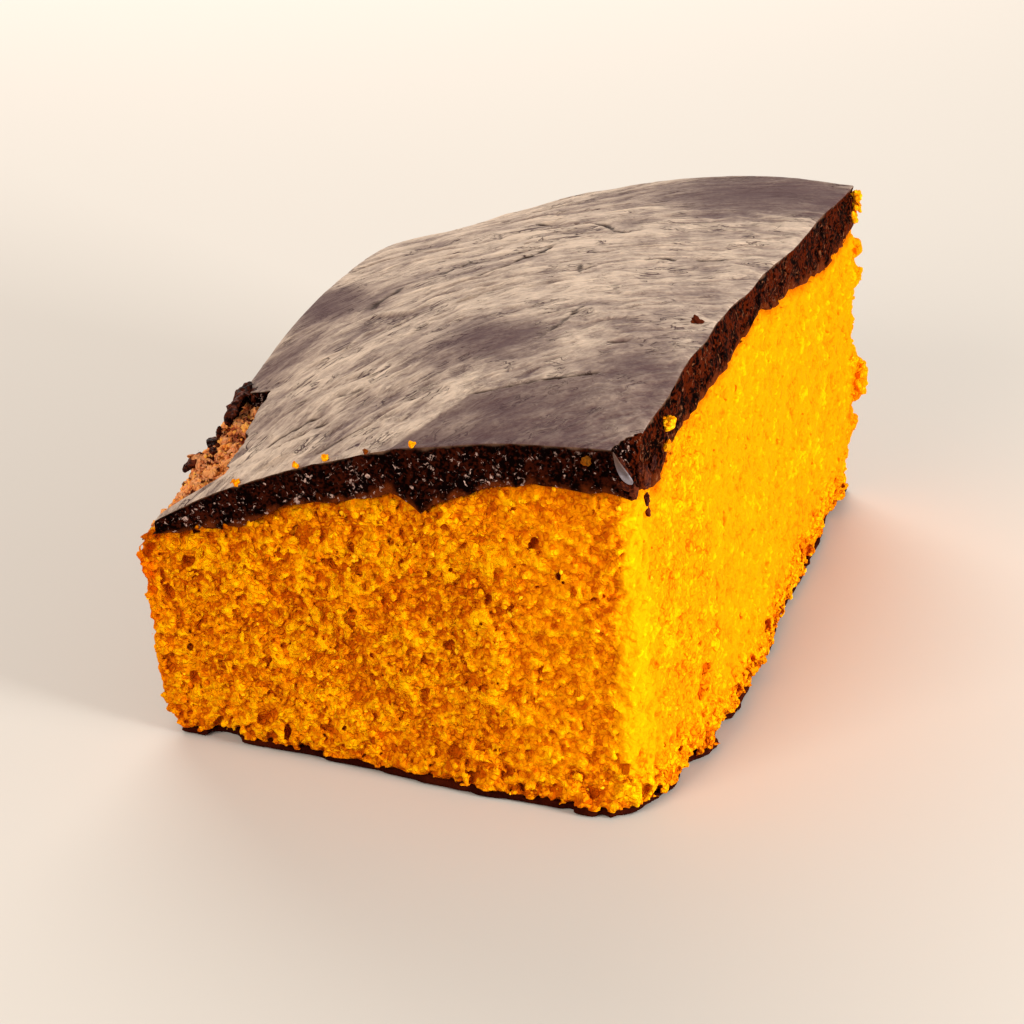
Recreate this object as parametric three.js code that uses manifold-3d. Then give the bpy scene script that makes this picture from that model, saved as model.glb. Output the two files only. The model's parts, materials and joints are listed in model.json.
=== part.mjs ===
// A hand-cut piece of tray-baked carrot cake under a set chocolate glaze.
// Millimetres, +Z up. The front cut faces -Y, the right cut +X, the back cut +Y, and the side that
// stood against the baking tin faces -X. While it is shaped, x = 0 is the tin side, y = 0 the front
// cut and z = 0 the table. The group then moves the piece so that the origin is under its middle.
import * as THREE from "three";
import { mergeVertices } from "three/addons/utils/BufferGeometryUtils.js";
import Module from "manifold-3d";

// ---- Driving dimensions ---------------------------------------------------------------------
const WIDTH = 62.5; // tin side to right cut, at the table
const DEPTH = 95; // front cut to back cut
const MIDDLE = [33.67, 47.65]; // the middle of the finished piece, measured from the shaping corner

// Heights of the glazed top, at equal steps from the front cut to the back cut.
const RIGHT_HEIGHTS = [45.8, 49.3, 48.2, 46.4, 45.6]; // along the right cut
const TIN_HEIGHTS = [26.7, 32.8, 37.0, 36.1, 28.2]; // along the tin side, where the cake rose less
const FALL_POWER = 2.2; // how suddenly the top falls away towards the tin side
const DIP = { at: [40, 21], spread: 9, deep: 0.6 }; // a shallow hollow in the top

// How far the right cut bows out of its plane at the table, at equal steps from front to back.
const RIGHT_BOW = [0, 3.9, 3.4, 1.8, 0.7, -0.5];
const BOW_AT_TOP = 0.15; // the share of that bow that is left at the glaze
const RIGHT_LEAN = 1.9; // how far the right cut leans inwards on its way up
// How far the foot of the front and back cuts spreads out, at equal steps from the tin side.
const FOOT_SPREAD = [0.2, -0.2, 0.2, 1.1, 0.2];
const FOOT_HEIGHT = 9; // how high up that spread reaches

const TIN_CORNER = 5.5; // radius where the tin's side met its floor
const TIN_SHOULDER = 4.2; // radius where the tin side turns over into the top
const TIN_TAPER = 1.6; // the tin is this much narrower at its floor

const GLAZE = 4.9; // usual thickness of the chocolate
const GLAZE_AT_TIN = 1.4; // it ran thin towards the tin
const GLAZE_THINS_OVER = 15; // the distance from the tin side over which it thins
const GLAZE_WAVES = [
  // the cake's top under the glaze is uneven: height, wavelength, direction in radians, phase
  [0.4, 34, 0.35, 2.1],
  [0.35, 17, 1.25, 0.4],
  [0.25, 9, 2.3, 1.0],
];
const GLAZE_POCKETS = [
  // where chocolate ran into a hollow of the crumb, or the crumb rose: x, y, spread, extra depth
  [40, 0, 9, 1.2],
  [35.8, 0, 2.2, 1.7],
  [61.5, 8.5, 4.4, 2.7],
  [61.5, 27, 7, 1.1],
  [61, 49, 6, -1.0],
  [61, 66, 7, 0.9],
  [61, 82, 9, 3.0],
  [24, 95, 6, 1.6],
  [5, 68, 5, 0.8],
];
const SEAM = 0.3; // clear space between crumb and glaze

// The glaze was pulled off the tin edge near the front, where bare crumb shows.
const TORN = { from: 0.8, to: 25.5, inset: 7.6, ends: 3.4 };
const GLAZE_SET_BACK = 0.4; // elsewhere the glaze stops this far inside the tin side
const CHIPPED_CORNER = [[63.2, -1.7, 47.0], [7.2, 8.4, 3.9]]; // broken off the glaze by the knife

const RELIEF = 0.45; // height of the unevenness of a cut, either way
const RELIEF_GRAIN = 6.5; // its usual width
const CRUMBLE = 0.32; // height of the finer unevenness where crumb was torn
const CRUMBLE_GRAIN = 2.3;
const TIN_SHARE = 0.35; // the side baked against the tin has this share of the unevenness

// Torn crumb that hangs out of the cuts near the table: a row of lumps beside each cut's foot.
const FRONT_FOOT_CRAGS = { count: 15, from: 12, to: 61, height: 2.8, half: 3.1 };
const RIGHT_FOOT_CRAGS = { count: 19, from: 4, to: 92, height: 3.0, half: 3.3 };
const BACK_FOOT_CRAGS = { count: 12, from: 9, to: 60, height: 2.8, half: 3.0 };
const CRAG_DEPTH = 0.55; // how deep a lump is, as a share of how wide
const CRAG_SUNK = 0.6; // how far its middle is behind the cut
const STRIP_CRAGS = { count: 12, half: 1.5 }; // on the strip that the tear laid bare
// Bigger lumps, each by its centre and half sizes.
const CRAGS = [
  [[62.0, 93.9, 17.6], [2.3, 2.3, 4.0]], // down the far edge of the right cut
  [[61.2, 94.4, 32.6], [1.7, 1.6, 1.7]],
  [[61.3, 94.3, 36.6], [1.4, 1.4, 1.7]],
  [[61.8, 94.6, 10.6], [1.4, 1.5, 1.8]],
  [[0.9, 94.2, 20.5], [1.3, 1.9, 3.0]], // down the far edge of the tin side
  [[41.5, 94.8, 13.0], [5.5, 1.3, 4.0]], // torn out of the back cut
  [[16.0, 94.8, 21.0], [4.2, 1.2, 3.4]],
];
// Hollows broken out of the foot of the cake: centre, then half sizes.
const HOLLOWS = [
  [[10.1, 0.0, 0.3], [3.0, 2.8, 2.1]],
  [[19.3, -0.4, 0.2], [1.6, 1.5, 1.1]],
  [[65.9, 12.6, 0.3], [2.6, 1.7, 2.2]],
  [[38.0, 95.4, 0.2], [3.4, 2.0, 1.7]],
];

// The lip of glaze that the tear rolled up and out at the tin edge: a thin curled sheet.
const CURL = { at: [4.2, 21.6, 34.9], radius: 1.8, thick: 0.9, long: 6.6, rises: 0.3, turns: [1.2, 5.5] };
const LIP_TAPER = 0.3; // it is this much narrower at its ends
// A flake of glaze that stayed on the tin edge.
const FLAKE = [[1.5, 13.0, 30.9], [1.7, 2.6, 1.1]];
// The flap of skin that the knife drew down over the front cut.
const FLAP = [[59.2, -0.35, 43.3], [0.75, 0.65, 2.2]];
const FLAP_LEAN = -0.5;

// Steps of the surfaces: across, along, and up.
const CRUMB_STEPS = [22, 31, 12];
const GLAZE_STEPS = [22, 32, 2];

const CRUMB_COLOUR = "#f0a010";
const GLAZE_COLOUR = "#3a2219";

// ---- Shape rules ----------------------------------------------------------------------------
// A smooth line through values at equal steps of t from 0 to 1.
function through(values, t) {
  const last = values.length - 1;
  const at = Math.min(Math.max(t, 0), 1) * last;
  const i = Math.min(Math.floor(at), last - 1);
  const u = at - i;
  const [b, c] = [values[i], values[i + 1]];
  const a = i > 0 ? values[i - 1] : 2 * b - c;
  const d = i + 2 <= last ? values[i + 2] : 2 * c - b;
  return b + 0.5 * u * (c - a + u * (2 * a - 5 * b + 4 * c - d + u * (3 * (b - c) + d - a)));
}

function smoothStep(u) {
  const c = Math.min(Math.max(u, 0), 1);
  return c * c * (3 - 2 * c);
}

// A soft round rise of height 1 about a point of the plan.
const mound = (x, y, px, py, spread) => Math.exp(-((x - px) ** 2 + (y - py) ** 2) / spread ** 2);

// Height of the glazed top.
function topAt(x, y) {
  const t = y / DEPTH;
  const right = through(RIGHT_HEIGHTS, t);
  const away = Math.min(Math.max(1 - x / WIDTH, 0), 1.03);
  const fall = (right - through(TIN_HEIGHTS, t)) * away ** FALL_POWER;
  return right - fall - DIP.deep * mound(x, y, ...DIP.at, DIP.spread);
}

// Thickness of the chocolate above the crumb.
function glazeAt(x, y) {
  const share = smoothStep(x / GLAZE_THINS_OVER);
  let thick = GLAZE_AT_TIN + (GLAZE - GLAZE_AT_TIN) * share;
  for (const [high, long, turn, phase] of GLAZE_WAVES) {
    const along = x * Math.cos(turn) + y * Math.sin(turn);
    thick += share * high * Math.sin((2 * Math.PI * along) / long + phase);
  }
  for (const [px, py, spread, deep] of GLAZE_POCKETS) thick += deep * mound(x, y, px, py, spread);
  return thick;
}

const crumbTopAt = (x, y) => topAt(x, y) - glazeAt(x, y);

// How far a quarter round of that radius has drawn the wall in, at a height above its start.
function quarterRound(radius, above) {
  const left = Math.max(radius - above, 0);
  return radius - Math.sqrt(Math.max(radius ** 2 - left ** 2, 0));
}

// The tin side's x at a height, under a top that is so high there.
function tinSideAt(z, top) {
  const shoulder = quarterRound(TIN_SHOULDER, Math.max(top - z, 0) + TIN_SHOULDER * 0.12);
  return TIN_TAPER * (1 - z / top) + quarterRound(TIN_CORNER, z + 0.06) + shoulder;
}

// The right cut's x.
function rightCutAt(y, z) {
  const up = z / RIGHT_HEIGHTS[0];
  const bow = through(RIGHT_BOW, y / DEPTH) * (1 + (BOW_AT_TOP - 1) * up);
  return WIDTH + bow - RIGHT_LEAN * up;
}

// How far the front and back cuts stand out near the table.
function footAt(x, z) {
  return through(FOOT_SPREAD, x / WIDTH) * (1 - smoothStep(z / FOOT_HEIGHT));
}

// Repeatable random number from 0 to 1 for a lattice point.
function dice(i, j, k) {
  const s = Math.sin(i * 127.1 + j * 311.7 + k * 74.7) * 43758.5453;
  return s - Math.floor(s);
}

// Smooth unevenness of that grain, from -1 to 1.
function unevenness(x, y, z, grain) {
  const at = [x, y, z].map((v) => v / grain);
  const cell = at.map(Math.floor);
  const part = at.map((v, n) => smoothStep(v - cell[n]));
  let sum = 0;
  for (let corner = 0; corner < 8; corner++) {
    const on = [corner & 1, (corner >> 1) & 1, corner >> 2];
    const weight = on.reduce((w, o, n) => w * (o ? part[n] : 1 - part[n]), 1);
    sum += weight * dice(...cell.map((c, n) => c + on[n]));
  }
  return 2 * sum - 1;
}

// ---- Building -------------------------------------------------------------------------------
const wasm = await Module();
wasm.setup();

function solidFrom(geometry) {
  const bare = geometry.clone();
  bare.deleteAttribute("normal");
  bare.deleteAttribute("uv");
  const merged = mergeVertices(bare, 1e-4);
  return new wasm.Manifold(
    new wasm.Mesh({
      numProp: 3,
      vertProperties: merged.attributes.position.array,
      triVerts: new Uint32Array(merged.index.array),
    }),
  );
}

function geometryFrom(solid) {
  const mesh = solid.getMesh();
  const geometry = new THREE.BufferGeometry();
  geometry.setAttribute("position", new THREE.BufferAttribute(mesh.vertProperties, 3));
  geometry.setIndex(new THREE.BufferAttribute(mesh.triVerts, 1));
  geometry.computeVertexNormals();
  return geometry;
}

// A closed block whose surface points run s across, t along and v up, each from 0 to 1, and are
// carried to their places by place(s, t, v).
function block([across, along, up], place) {
  const box = new THREE.BoxGeometry(1, 1, 1, across, along, up);
  const points = box.attributes.position;
  for (let n = 0; n < points.count; n++) {
    const s = points.getX(n) + 0.5;
    const t = points.getY(n) + 0.5;
    const v = points.getZ(n) + 0.5;
    points.setXYZ(n, ...place(s, t, v));
  }
  return solidFrom(box);
}

// Carries s and t to x and y at height z, between the tin side and the cuts, with the cuts uneven.
function planAt(s, t, z, tinInset, top, crumble) {
  const onTin = s < 0.001;
  const onRight = s > 0.999;
  const onFront = t < 0.001;
  const onBack = t > 0.999;
  let y = t * DEPTH;
  const left = tinSideAt(z, top) + tinInset;
  let x = left + s * (rightCutAt(y, z) - left);
  const rough = RELIEF * unevenness(x, y, z, RELIEF_GRAIN) + crumble * unevenness(x, y, z, CRUMBLE_GRAIN);
  if (onFront) y -= footAt(x, z) + rough;
  if (onBack) y += footAt(x, z) + rough;
  if (onTin) x -= TIN_SHARE * rough;
  if (onRight) x += rough;
  return [x, y];
}

// Heights near the table are closer together, to follow the tin's round corner.
const closerAtFoot = (v) => v ** 1.35;

function crumbPlace(s, t, v) {
  const top = topAt(0, t * DEPTH);
  let z = v * top;
  let x = 0;
  let y = 0;
  for (let pass = 0; pass < 5; pass++) {
    [x, y] = planAt(s, t, z, 0, top, v < 0.999 ? CRUMBLE : 0);
    z = closerAtFoot(v) * crumbTopAt(x, y);
  }
  return [x, y, z];
}

function tornInsetAt(y) {
  const bare = smoothStep((y - TORN.from) / TORN.ends) * smoothStep((TORN.to - y) / TORN.ends);
  return GLAZE_SET_BACK + TORN.inset * bare * (1 - (0.35 * y) / TORN.to);
}

function glazePlace(s, t, v) {
  const top = topAt(0, t * DEPTH);
  let z = top;
  let x = 0;
  let y = 0;
  for (let pass = 0; pass < 5; pass++) {
    [x, y] = planAt(s, t, z, tornInsetAt(t * DEPTH), top, 0);
    const under = crumbTopAt(x, y) + SEAM;
    z = under + v * (topAt(x, y) - under);
  }
  return [x, y, z];
}

// A lump of torn crumb: a ball of flat faces, each corner drawn in or out by chance, stretched to
// its half sizes and turned about Y.
function lump([centre, half], { turn = 0, detail = 1, ragged = 0.3, grow = 0 } = {}) {
  const ball = new THREE.IcosahedronGeometry(1, detail);
  const points = ball.attributes.position;
  for (let n = 0; n < points.count; n++) {
    const corner = [points.getX(n), points.getY(n), points.getZ(n)];
    const key = corner.map((c) => Math.round(c * 50));
    const out = 1 - ragged * dice(key[0] + centre[0], key[1] + centre[1], key[2] + centre[2]);
    points.setXYZ(n, ...corner.map((c, axis) => c * (half[axis] * out + grow)));
  }
  ball.rotateY(turn);
  ball.translate(...centre);
  return solidFrom(ball);
}

// A row of lumps of changing size and height; spot(u) gives a place on the surface for u from 0 to
// 1, and deepAxis is the axis along which the lumps are shallow.
function cragRow({ count, half }, deepAxis, spot) {
  return Array.from({ length: count }, (_, n) => {
    const u = (n + 0.25 + 0.5 * dice(n, count, 1)) / count;
    const size = half * (0.6 + 0.7 * dice(n, count, 2));
    const sizes = [size, size, size * (0.55 + 0.35 * dice(n, count, 3))];
    sizes[deepAxis] *= CRAG_DEPTH;
    return [spot(u, dice(n, count, 4)), sizes];
  });
}

const between = ({ from, to }, u) => from + (to - from) * u;

function frontSpot(u, chance) {
  const x = between(FRONT_FOOT_CRAGS, u);
  const z = FRONT_FOOT_CRAGS.height * (0.5 + chance);
  return [x, CRAG_SUNK - footAt(x, z), z];
}

function rightSpot(u, chance) {
  const y = between(RIGHT_FOOT_CRAGS, u);
  const z = RIGHT_FOOT_CRAGS.height * (0.5 + chance);
  return [rightCutAt(y, z) - CRAG_SUNK, y, z];
}

function backSpot(u, chance) {
  const x = between(BACK_FOOT_CRAGS, u);
  const z = BACK_FOOT_CRAGS.height * (0.5 + chance);
  return [x, DEPTH + footAt(x, z) - CRAG_SUNK, z];
}

// On the bare strip the lumps lie half sunk, between the tin side and the torn edge of the glaze.
function stripSpot(u, chance) {
  const y = TORN.from + TORN.ends * 0.6 + (TORN.to - TORN.from - TORN.ends * 1.6) * u;
  const x = 2.4 + (tornInsetAt(y) - 3.6) * chance;
  return [x, y, crumbTopAt(x, y) + 0.2];
}

// The curled lip: a crescent of glaze about an axis that runs along the tin edge, thin at its ends.
function curledLip(grow) {
  const { at, radius, thick, long, rises, turns } = CURL;
  const outline = new THREE.Shape();
  outline.absarc(0, 0, radius + grow, turns[0], turns[1], false);
  outline.absarc(0, 0, radius - thick - grow, turns[1], turns[0], true);
  const lip = new THREE.ExtrudeGeometry(outline, {
    depth: long + 2 * grow,
    steps: 5,
    curveSegments: 7,
    bevelEnabled: false,
  });
  lip.translate(0, 0, -grow - long / 2);
  const points = lip.attributes.position;
  for (let n = 0; n < points.count; n++) {
    const end = Math.abs(points.getZ(n)) / (long / 2 + grow);
    const full = 1 - LIP_TAPER * end ** 2;
    points.setXY(n, points.getX(n) * full, points.getY(n) * full);
  }
  lip.rotateX(Math.PI / 2);
  lip.rotateX(rises);
  lip.translate(...at);
  return solidFrom(lip);
}

let crumb = block(CRUMB_STEPS, crumbPlace);
const smallCrags = [
  ...cragRow(FRONT_FOOT_CRAGS, 1, frontSpot),
  ...cragRow(RIGHT_FOOT_CRAGS, 0, rightSpot),
  ...cragRow(BACK_FOOT_CRAGS, 1, backSpot),
  ...cragRow(STRIP_CRAGS, 2, stripSpot),
];
smallCrags.forEach((crag, n) => (crumb = crumb.add(lump(crag, { turn: n, detail: 0 }))));
for (const crag of [...CRAGS, FLAKE]) crumb = crumb.add(lump(crag));
for (const hollow of HOLLOWS) crumb = crumb.subtract(lump(hollow));

let glaze = block(GLAZE_STEPS, glazePlace);
glaze = glaze.subtract(lump(CHIPPED_CORNER));
glaze = glaze.add(curledLip(0)).add(lump(FLAP, { turn: FLAP_LEAN, ragged: 0.1 }));

// The crumb keeps clear of the glaze, its curl and its flap, and nothing reaches under the table.
crumb = crumb.subtract(glaze.translate(0, 0, -SEAM / 2)).subtract(curledLip(SEAM));
crumb = crumb.subtract(lump(FLAP, { turn: FLAP_LEAN, ragged: 0.1, grow: SEAM }));
crumb = crumb.trimByPlane([0, 0, 1], 0);

function piece(name, solid, colour, roughness) {
  const material = new THREE.MeshStandardMaterial({ color: colour, roughness, metalness: 0 });
  const mesh = new THREE.Mesh(geometryFrom(solid), material);
  mesh.name = name;
  return mesh;
}

const cake = new THREE.Group();
cake.add(piece("carrot_crumb", crumb, CRUMB_COLOUR, 0.9));
cake.add(piece("chocolate_glaze", glaze, GLAZE_COLOUR, 0.45));
cake.position.set(-MIDDLE[0], -MIDDLE[1], 0);

export default cake;
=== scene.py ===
"""A hand-cut piece of tray-baked carrot cake under a set chocolate glaze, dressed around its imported
solids.

Lengths are worked out in millimetres, as the solids' source does it: x = 0 at the tin side, y = 0
at the front cut, z = 0 on the table. A mesh is written in metres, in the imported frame.
"""

import itertools
import json
import math

import bmesh
import bpy
import numpy as np
import openvdb
from mathutils import Matrix, Vector

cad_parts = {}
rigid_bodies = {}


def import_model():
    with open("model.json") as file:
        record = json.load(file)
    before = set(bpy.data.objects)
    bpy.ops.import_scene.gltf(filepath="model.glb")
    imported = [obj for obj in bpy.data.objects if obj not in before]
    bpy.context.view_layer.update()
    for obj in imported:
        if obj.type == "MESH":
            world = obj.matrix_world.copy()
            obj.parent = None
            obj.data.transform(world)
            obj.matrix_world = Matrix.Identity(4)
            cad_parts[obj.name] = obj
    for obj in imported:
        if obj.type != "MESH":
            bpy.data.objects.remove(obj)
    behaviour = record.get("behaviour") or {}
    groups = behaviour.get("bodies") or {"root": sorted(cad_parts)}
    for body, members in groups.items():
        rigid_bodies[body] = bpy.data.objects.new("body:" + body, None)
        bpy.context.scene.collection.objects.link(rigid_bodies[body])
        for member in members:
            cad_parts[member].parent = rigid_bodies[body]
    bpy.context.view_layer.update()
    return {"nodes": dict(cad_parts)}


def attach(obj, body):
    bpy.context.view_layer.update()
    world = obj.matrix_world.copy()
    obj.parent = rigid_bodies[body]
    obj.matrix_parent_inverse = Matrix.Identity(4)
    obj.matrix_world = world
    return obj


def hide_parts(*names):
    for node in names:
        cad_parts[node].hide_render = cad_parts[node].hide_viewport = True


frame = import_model()

# ---- The view ---------------------------------------------------------------------------------
# The camera stands a third of a metre in front, to the right of the front cut, and looks down at
# the top. Its lens and place were fitted to the straight edges of the piece.
VIEW_TURN = math.radians(20.1)
VIEW_DOWN = math.radians(25.4)
VIEW_PLACE = (0.12360, -0.34930, 0.18910)
SENSOR = 36.0
LENS = 3194 / 1024 * SENSOR

view_across = (math.cos(VIEW_TURN), math.sin(VIEW_TURN), 0)
view_up = (
    -math.sin(VIEW_TURN) * math.sin(VIEW_DOWN),
    math.cos(VIEW_TURN) * math.sin(VIEW_DOWN),
    math.cos(VIEW_DOWN),
)
view_back = (
    math.sin(VIEW_TURN) * math.cos(VIEW_DOWN),
    -math.cos(VIEW_TURN) * math.cos(VIEW_DOWN),
    math.sin(VIEW_DOWN),
)
camera = bpy.data.objects.new("camera", bpy.data.cameras.new("camera"))
camera.data.lens = LENS
camera.data.sensor_width = SENSOR
camera.data.clip_start = 0.01
camera.matrix_world = Matrix.Translation(VIEW_PLACE) @ Matrix(
    (view_across, view_up, view_back)
).transposed().to_4x4()
bpy.context.scene.collection.objects.link(camera)
bpy.context.scene.camera = camera
bpy.context.scene.view_settings.view_transform = "Standard"

# ---- The floor and the light ------------------------------------------------------------------
# A pale matt sheet under the piece. A broad soft light stands behind it to the left and lies as a
# sheen on the skin; a low one on the right lights the right cut; a weak one fills the front.
FLOOR_COLOUR = (0.62, 0.585, 0.55)
WORLD_LIGHT = ((1.0, 0.95, 0.9), 0.36)


def area_light(name, place, aim, size, power, colour):
    data = bpy.data.lights.new(name, "AREA")
    data.shape = "RECTANGLE"
    data.size, data.size_y = size
    data.energy = power
    data.color = colour
    light = bpy.data.objects.new(name, data)
    turn = (Vector(place) - Vector(aim)).to_track_quat("Z", "Y")
    light.matrix_world = Matrix.Translation(place) @ turn.to_matrix().to_4x4()
    bpy.context.scene.collection.objects.link(light)


area_light("back_softbox", (-0.30, 0.52, 0.36), (0, 0, 0.03), (0.60, 0.34), 4.5, (1.0, 0.93, 0.84))
area_light("right_softbox", (0.52, -0.10, 0.13), (0, 0, 0.02), (0.16, 0.16), 4.2, (1.0, 0.97, 0.9))
area_light("front_fill", (-0.18, -0.55, 0.34), (0, 0, 0.02), (0.30, 0.30), 2.6, (1.0, 0.9, 0.78))

world = bpy.data.worlds.new("studio")
world.use_nodes = True
world.node_tree.nodes["Background"].inputs["Color"].default_value = (*WORLD_LIGHT[0], 1)
world.node_tree.nodes["Background"].inputs["Strength"].default_value = WORLD_LIGHT[1]
bpy.context.scene.world = world

floor_mesh = bpy.data.meshes.new("floor")
floor_mesh.from_pydata([(-3, -3, 0), (3, -3, 0), (3, 3, 0), (-3, 3, 0)], [], [(0, 1, 2, 3)])
floor_paint = bpy.data.materials.new("floor_paper")
floor_paint.use_nodes = True
floor_shader = floor_paint.node_tree.nodes["Principled BSDF"]
floor_shader.inputs["Base Color"].default_value = (*FLOOR_COLOUR, 1)
floor_shader.inputs["Roughness"].default_value = 0.85
floor_mesh.materials.append(floor_paint)
floor = bpy.data.objects.new("floor", floor_mesh)
bpy.context.scene.collection.objects.link(floor)

# ---- Crumb ------------------------------------------------------------------------------------
# Oil-based carrot sponge, baked in a tray and cut by hand, so that its cuts are torn grains of
# about a millimetre with pits between them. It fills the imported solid, and is made in three lengths
# along the piece, one for each third of the right cut, as one mesh would be too fine.
MIDDLE = (33.67, 47.65)
WIDTH = 62.5
DEPTH = 95.0
RIGHT_HEIGHTS = (45.8, 49.3, 48.2, 46.4, 45.6)
TIN_HEIGHTS = (26.7, 32.8, 37.0, 36.1, 28.2)
FALL_POWER = 2.2
DIP = (40, 21, 9)  # x, y and spread of the hollow in the top
DIP_DEEP = 0.6
TIN_CORNER = 5.5
TIN_SHOULDER = 4.2
TIN_TAPER = 1.6
GLAZE = 4.9
GLAZE_AT_TIN = 1.4
GLAZE_THINS_OVER = 15
# The glaze's underside: its waves' height, length, direction and phase, and x, y, spread and depth
# of the pockets that it fills.
GLAZE_WAVES = ((0.4, 34, 0.35, 2.1), (0.35, 17, 1.25, 0.4), (0.25, 9, 2.3, 1.0))
GLAZE_POCKETS = (
    (40, 0, 9, 1.2),
    (35.8, 0, 2.2, 1.7),
    (61.5, 8.5, 4.4, 2.7),
    (61.5, 27, 7, 1.1),
    (61, 49, 6, -1.0),
    (61, 66, 7, 0.9),
    (61, 82, 9, 3.0),
    (24, 95, 6, 1.6),
    (5, 68, 5, 0.8),
)
# The bare strip where the glaze was pulled off the tin side: its ends in y, and how wide it is.
TORN_FROM = 0.8
TORN_TO = 25.5
TORN_INSET = 7.6
TORN_ENDS = 3.4
GLAZE_SET_BACK = 0.4

# How the right cut bows out from front to back at the foot, the share of that at the top, and how
# far the cut leans in.
RIGHT_BOW = (0, 3.9, 3.4, 1.8, 0.7, -0.5)
BOW_AT_TOP = 0.15
RIGHT_LEAN = 1.9
FOOT_SPREAD = (0.2, -0.2, 0.2, 1.1, 0.2)
FOOT_HEIGHT = 9
RELIEF = 0.45
RELIEF_GRAIN = 6.5
TIN_SHARE = 0.35
NEAR_EDGE = 2.2  # how far the upright edge between the front and right cuts is rubbed round
TIN_SWELL = 0.7
FAR_SWELL = 0.75
FRONT_FOOT_SWELL = 0.65
# Hollows under the right foot: middle and half sizes, and how sharply they meet it, per mm.
FOOT_HOLLOWS = (((66.8, 22.4, 0.2), (1.9, 3.2, 2.8)), ((65.6, 11.8, 0.2), (1.7, 2.5, 2.4)))
HOLLOW_KNIT = 2.2

# Small tears in a line down the right cut, where the knife caught: y, z and half sizes.
TEARS = (
    (29.0, 25.5, 0.7, 0.9),
    (28.5, 23.8, 0.5, 0.5),
    (24.7, 18.3, 0.8, 2.0),
    (22.6, 14.3, 1.6, 1.3),
    (17.6, 11.0, 1.3, 0.9),
    (16.3, 8.7, 1.0, 1.2),
    (10.0, 6.8, 1.0, 0.8),
)
TEAR_DEEP = 1.2

VOXEL = 0.25  # the fineness of the crumb, in mm
TABLE = 32  # chance values along each side of a table
LUMP_FACES = 7
ROOM = 2.4  # clear space kept around the solid while it is worked on
SOFTENING = 12  # how often its flat faces are rounded into each other


def through(values, t):
    """A smooth line through values at equal steps of t from 0 to 1."""
    last = len(values) - 1
    at = np.clip(t, 0, 1) * last
    i = np.minimum(np.floor(at).astype(int), last - 1)
    u = at - i
    run = np.array([2 * values[0] - values[1], *values, 2 * values[-1] - values[-2]])
    a, b, c, d = (run[i + n] for n in range(4))
    return b + 0.5 * u * (c - a + u * (2 * a - 5 * b + 4 * c - d + u * (3 * (b - c) + d - a)))


def smooth_step(u):
    u = np.clip(u, 0, 1)
    return u * u * (3 - 2 * u)


def mound(x, y, px, py, spread):
    return np.exp(-((x - px) ** 2 + (y - py) ** 2) / spread**2)


def top_at(x, y):
    """Height of the glazed top."""
    right = through(RIGHT_HEIGHTS, y / DEPTH)
    away = np.clip(1 - x / WIDTH, 0, 1.03)
    fall = (right - through(TIN_HEIGHTS, y / DEPTH)) * away**FALL_POWER
    return right - fall - DIP_DEEP * mound(x, y, *DIP)


def crumb_top_at(x, y):
    """Height of the crumb under the chocolate."""
    share = smooth_step(x / GLAZE_THINS_OVER)
    thick = GLAZE_AT_TIN + (GLAZE - GLAZE_AT_TIN) * share
    for high, long, turn, phase in GLAZE_WAVES:
        along = x * math.cos(turn) + y * math.sin(turn)
        thick = thick + share * high * np.sin(2 * math.pi * along / long + phase)
    for px, py, spread, deep in GLAZE_POCKETS:
        thick = thick + deep * mound(x, y, px, py, spread)
    return top_at(x, y) - thick


def quarter_round(radius, above):
    left = np.maximum(radius - above, 0)
    return radius - np.sqrt(np.maximum(radius**2 - left**2, 0))


def tin_side_at(z, top):
    """The tin side's x at a height, under a top that is so high there."""
    shoulder = quarter_round(TIN_SHOULDER, np.maximum(top - z, 0) + TIN_SHOULDER * 0.12)
    return TIN_TAPER * (1 - z / top) + quarter_round(TIN_CORNER, z + 0.06) + shoulder


def torn_inset_at(y):
    """How far in from the tin side the glaze begins."""
    bare = smooth_step((y - TORN_FROM) / TORN_ENDS) * smooth_step((TORN_TO - y) / TORN_ENDS)
    return GLAZE_SET_BACK + TORN_INSET * bare * (1 - 0.35 * y / TORN_TO)


def blended(cell, part, value_at):
    """The values at each cell's eight corners, mixed by how far into the cell a place lies."""
    total = 0
    for on in itertools.product((0, 1), repeat=3):
        share = 1
        for axis in range(3):
            share = share * (part[..., axis] if on[axis] else 1 - part[..., axis])
        total = total + share * value_at(cell + np.array(on, cell.dtype))
    return total


def lattice_chance(at):
    """The chance value from 0 to 1 that the solids' source has at a lattice point."""
    s = np.sin(at[..., 0] * 127.1 + at[..., 1] * 311.7 + at[..., 2] * 74.7) * 43758.5453
    return s - np.floor(s)


def unevenness(x, y, z, grain):
    """The unevenness of the cuts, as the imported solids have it."""
    at = np.stack(np.broadcast_arrays(x, y, z), -1) / grain
    cell = np.floor(at)
    return 2 * blended(cell, smooth_step(at - cell), lattice_chance) - 1


def right_cut_at(y, z):
    up = z / RIGHT_HEIGHTS[0]
    return WIDTH + through(RIGHT_BOW, y / DEPTH) * (1 + (BOW_AT_TOP - 1) * up) - RIGHT_LEAN * up


def chance_table(seed):
    return np.random.default_rng(seed).random((TABLE, TABLE, TABLE), dtype=np.float32)


def drift(points, grain, seed):
    """Smooth chance from -1 to 1 that changes over that many mm."""
    table = chance_table(seed)
    at = points / grain
    cell = np.floor(at).astype(np.int32)
    part = smooth_step((at - cell).astype(np.float32))
    return 2 * blended(cell, part, lambda place: table[tuple((place % TABLE).T)]) - 1


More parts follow.
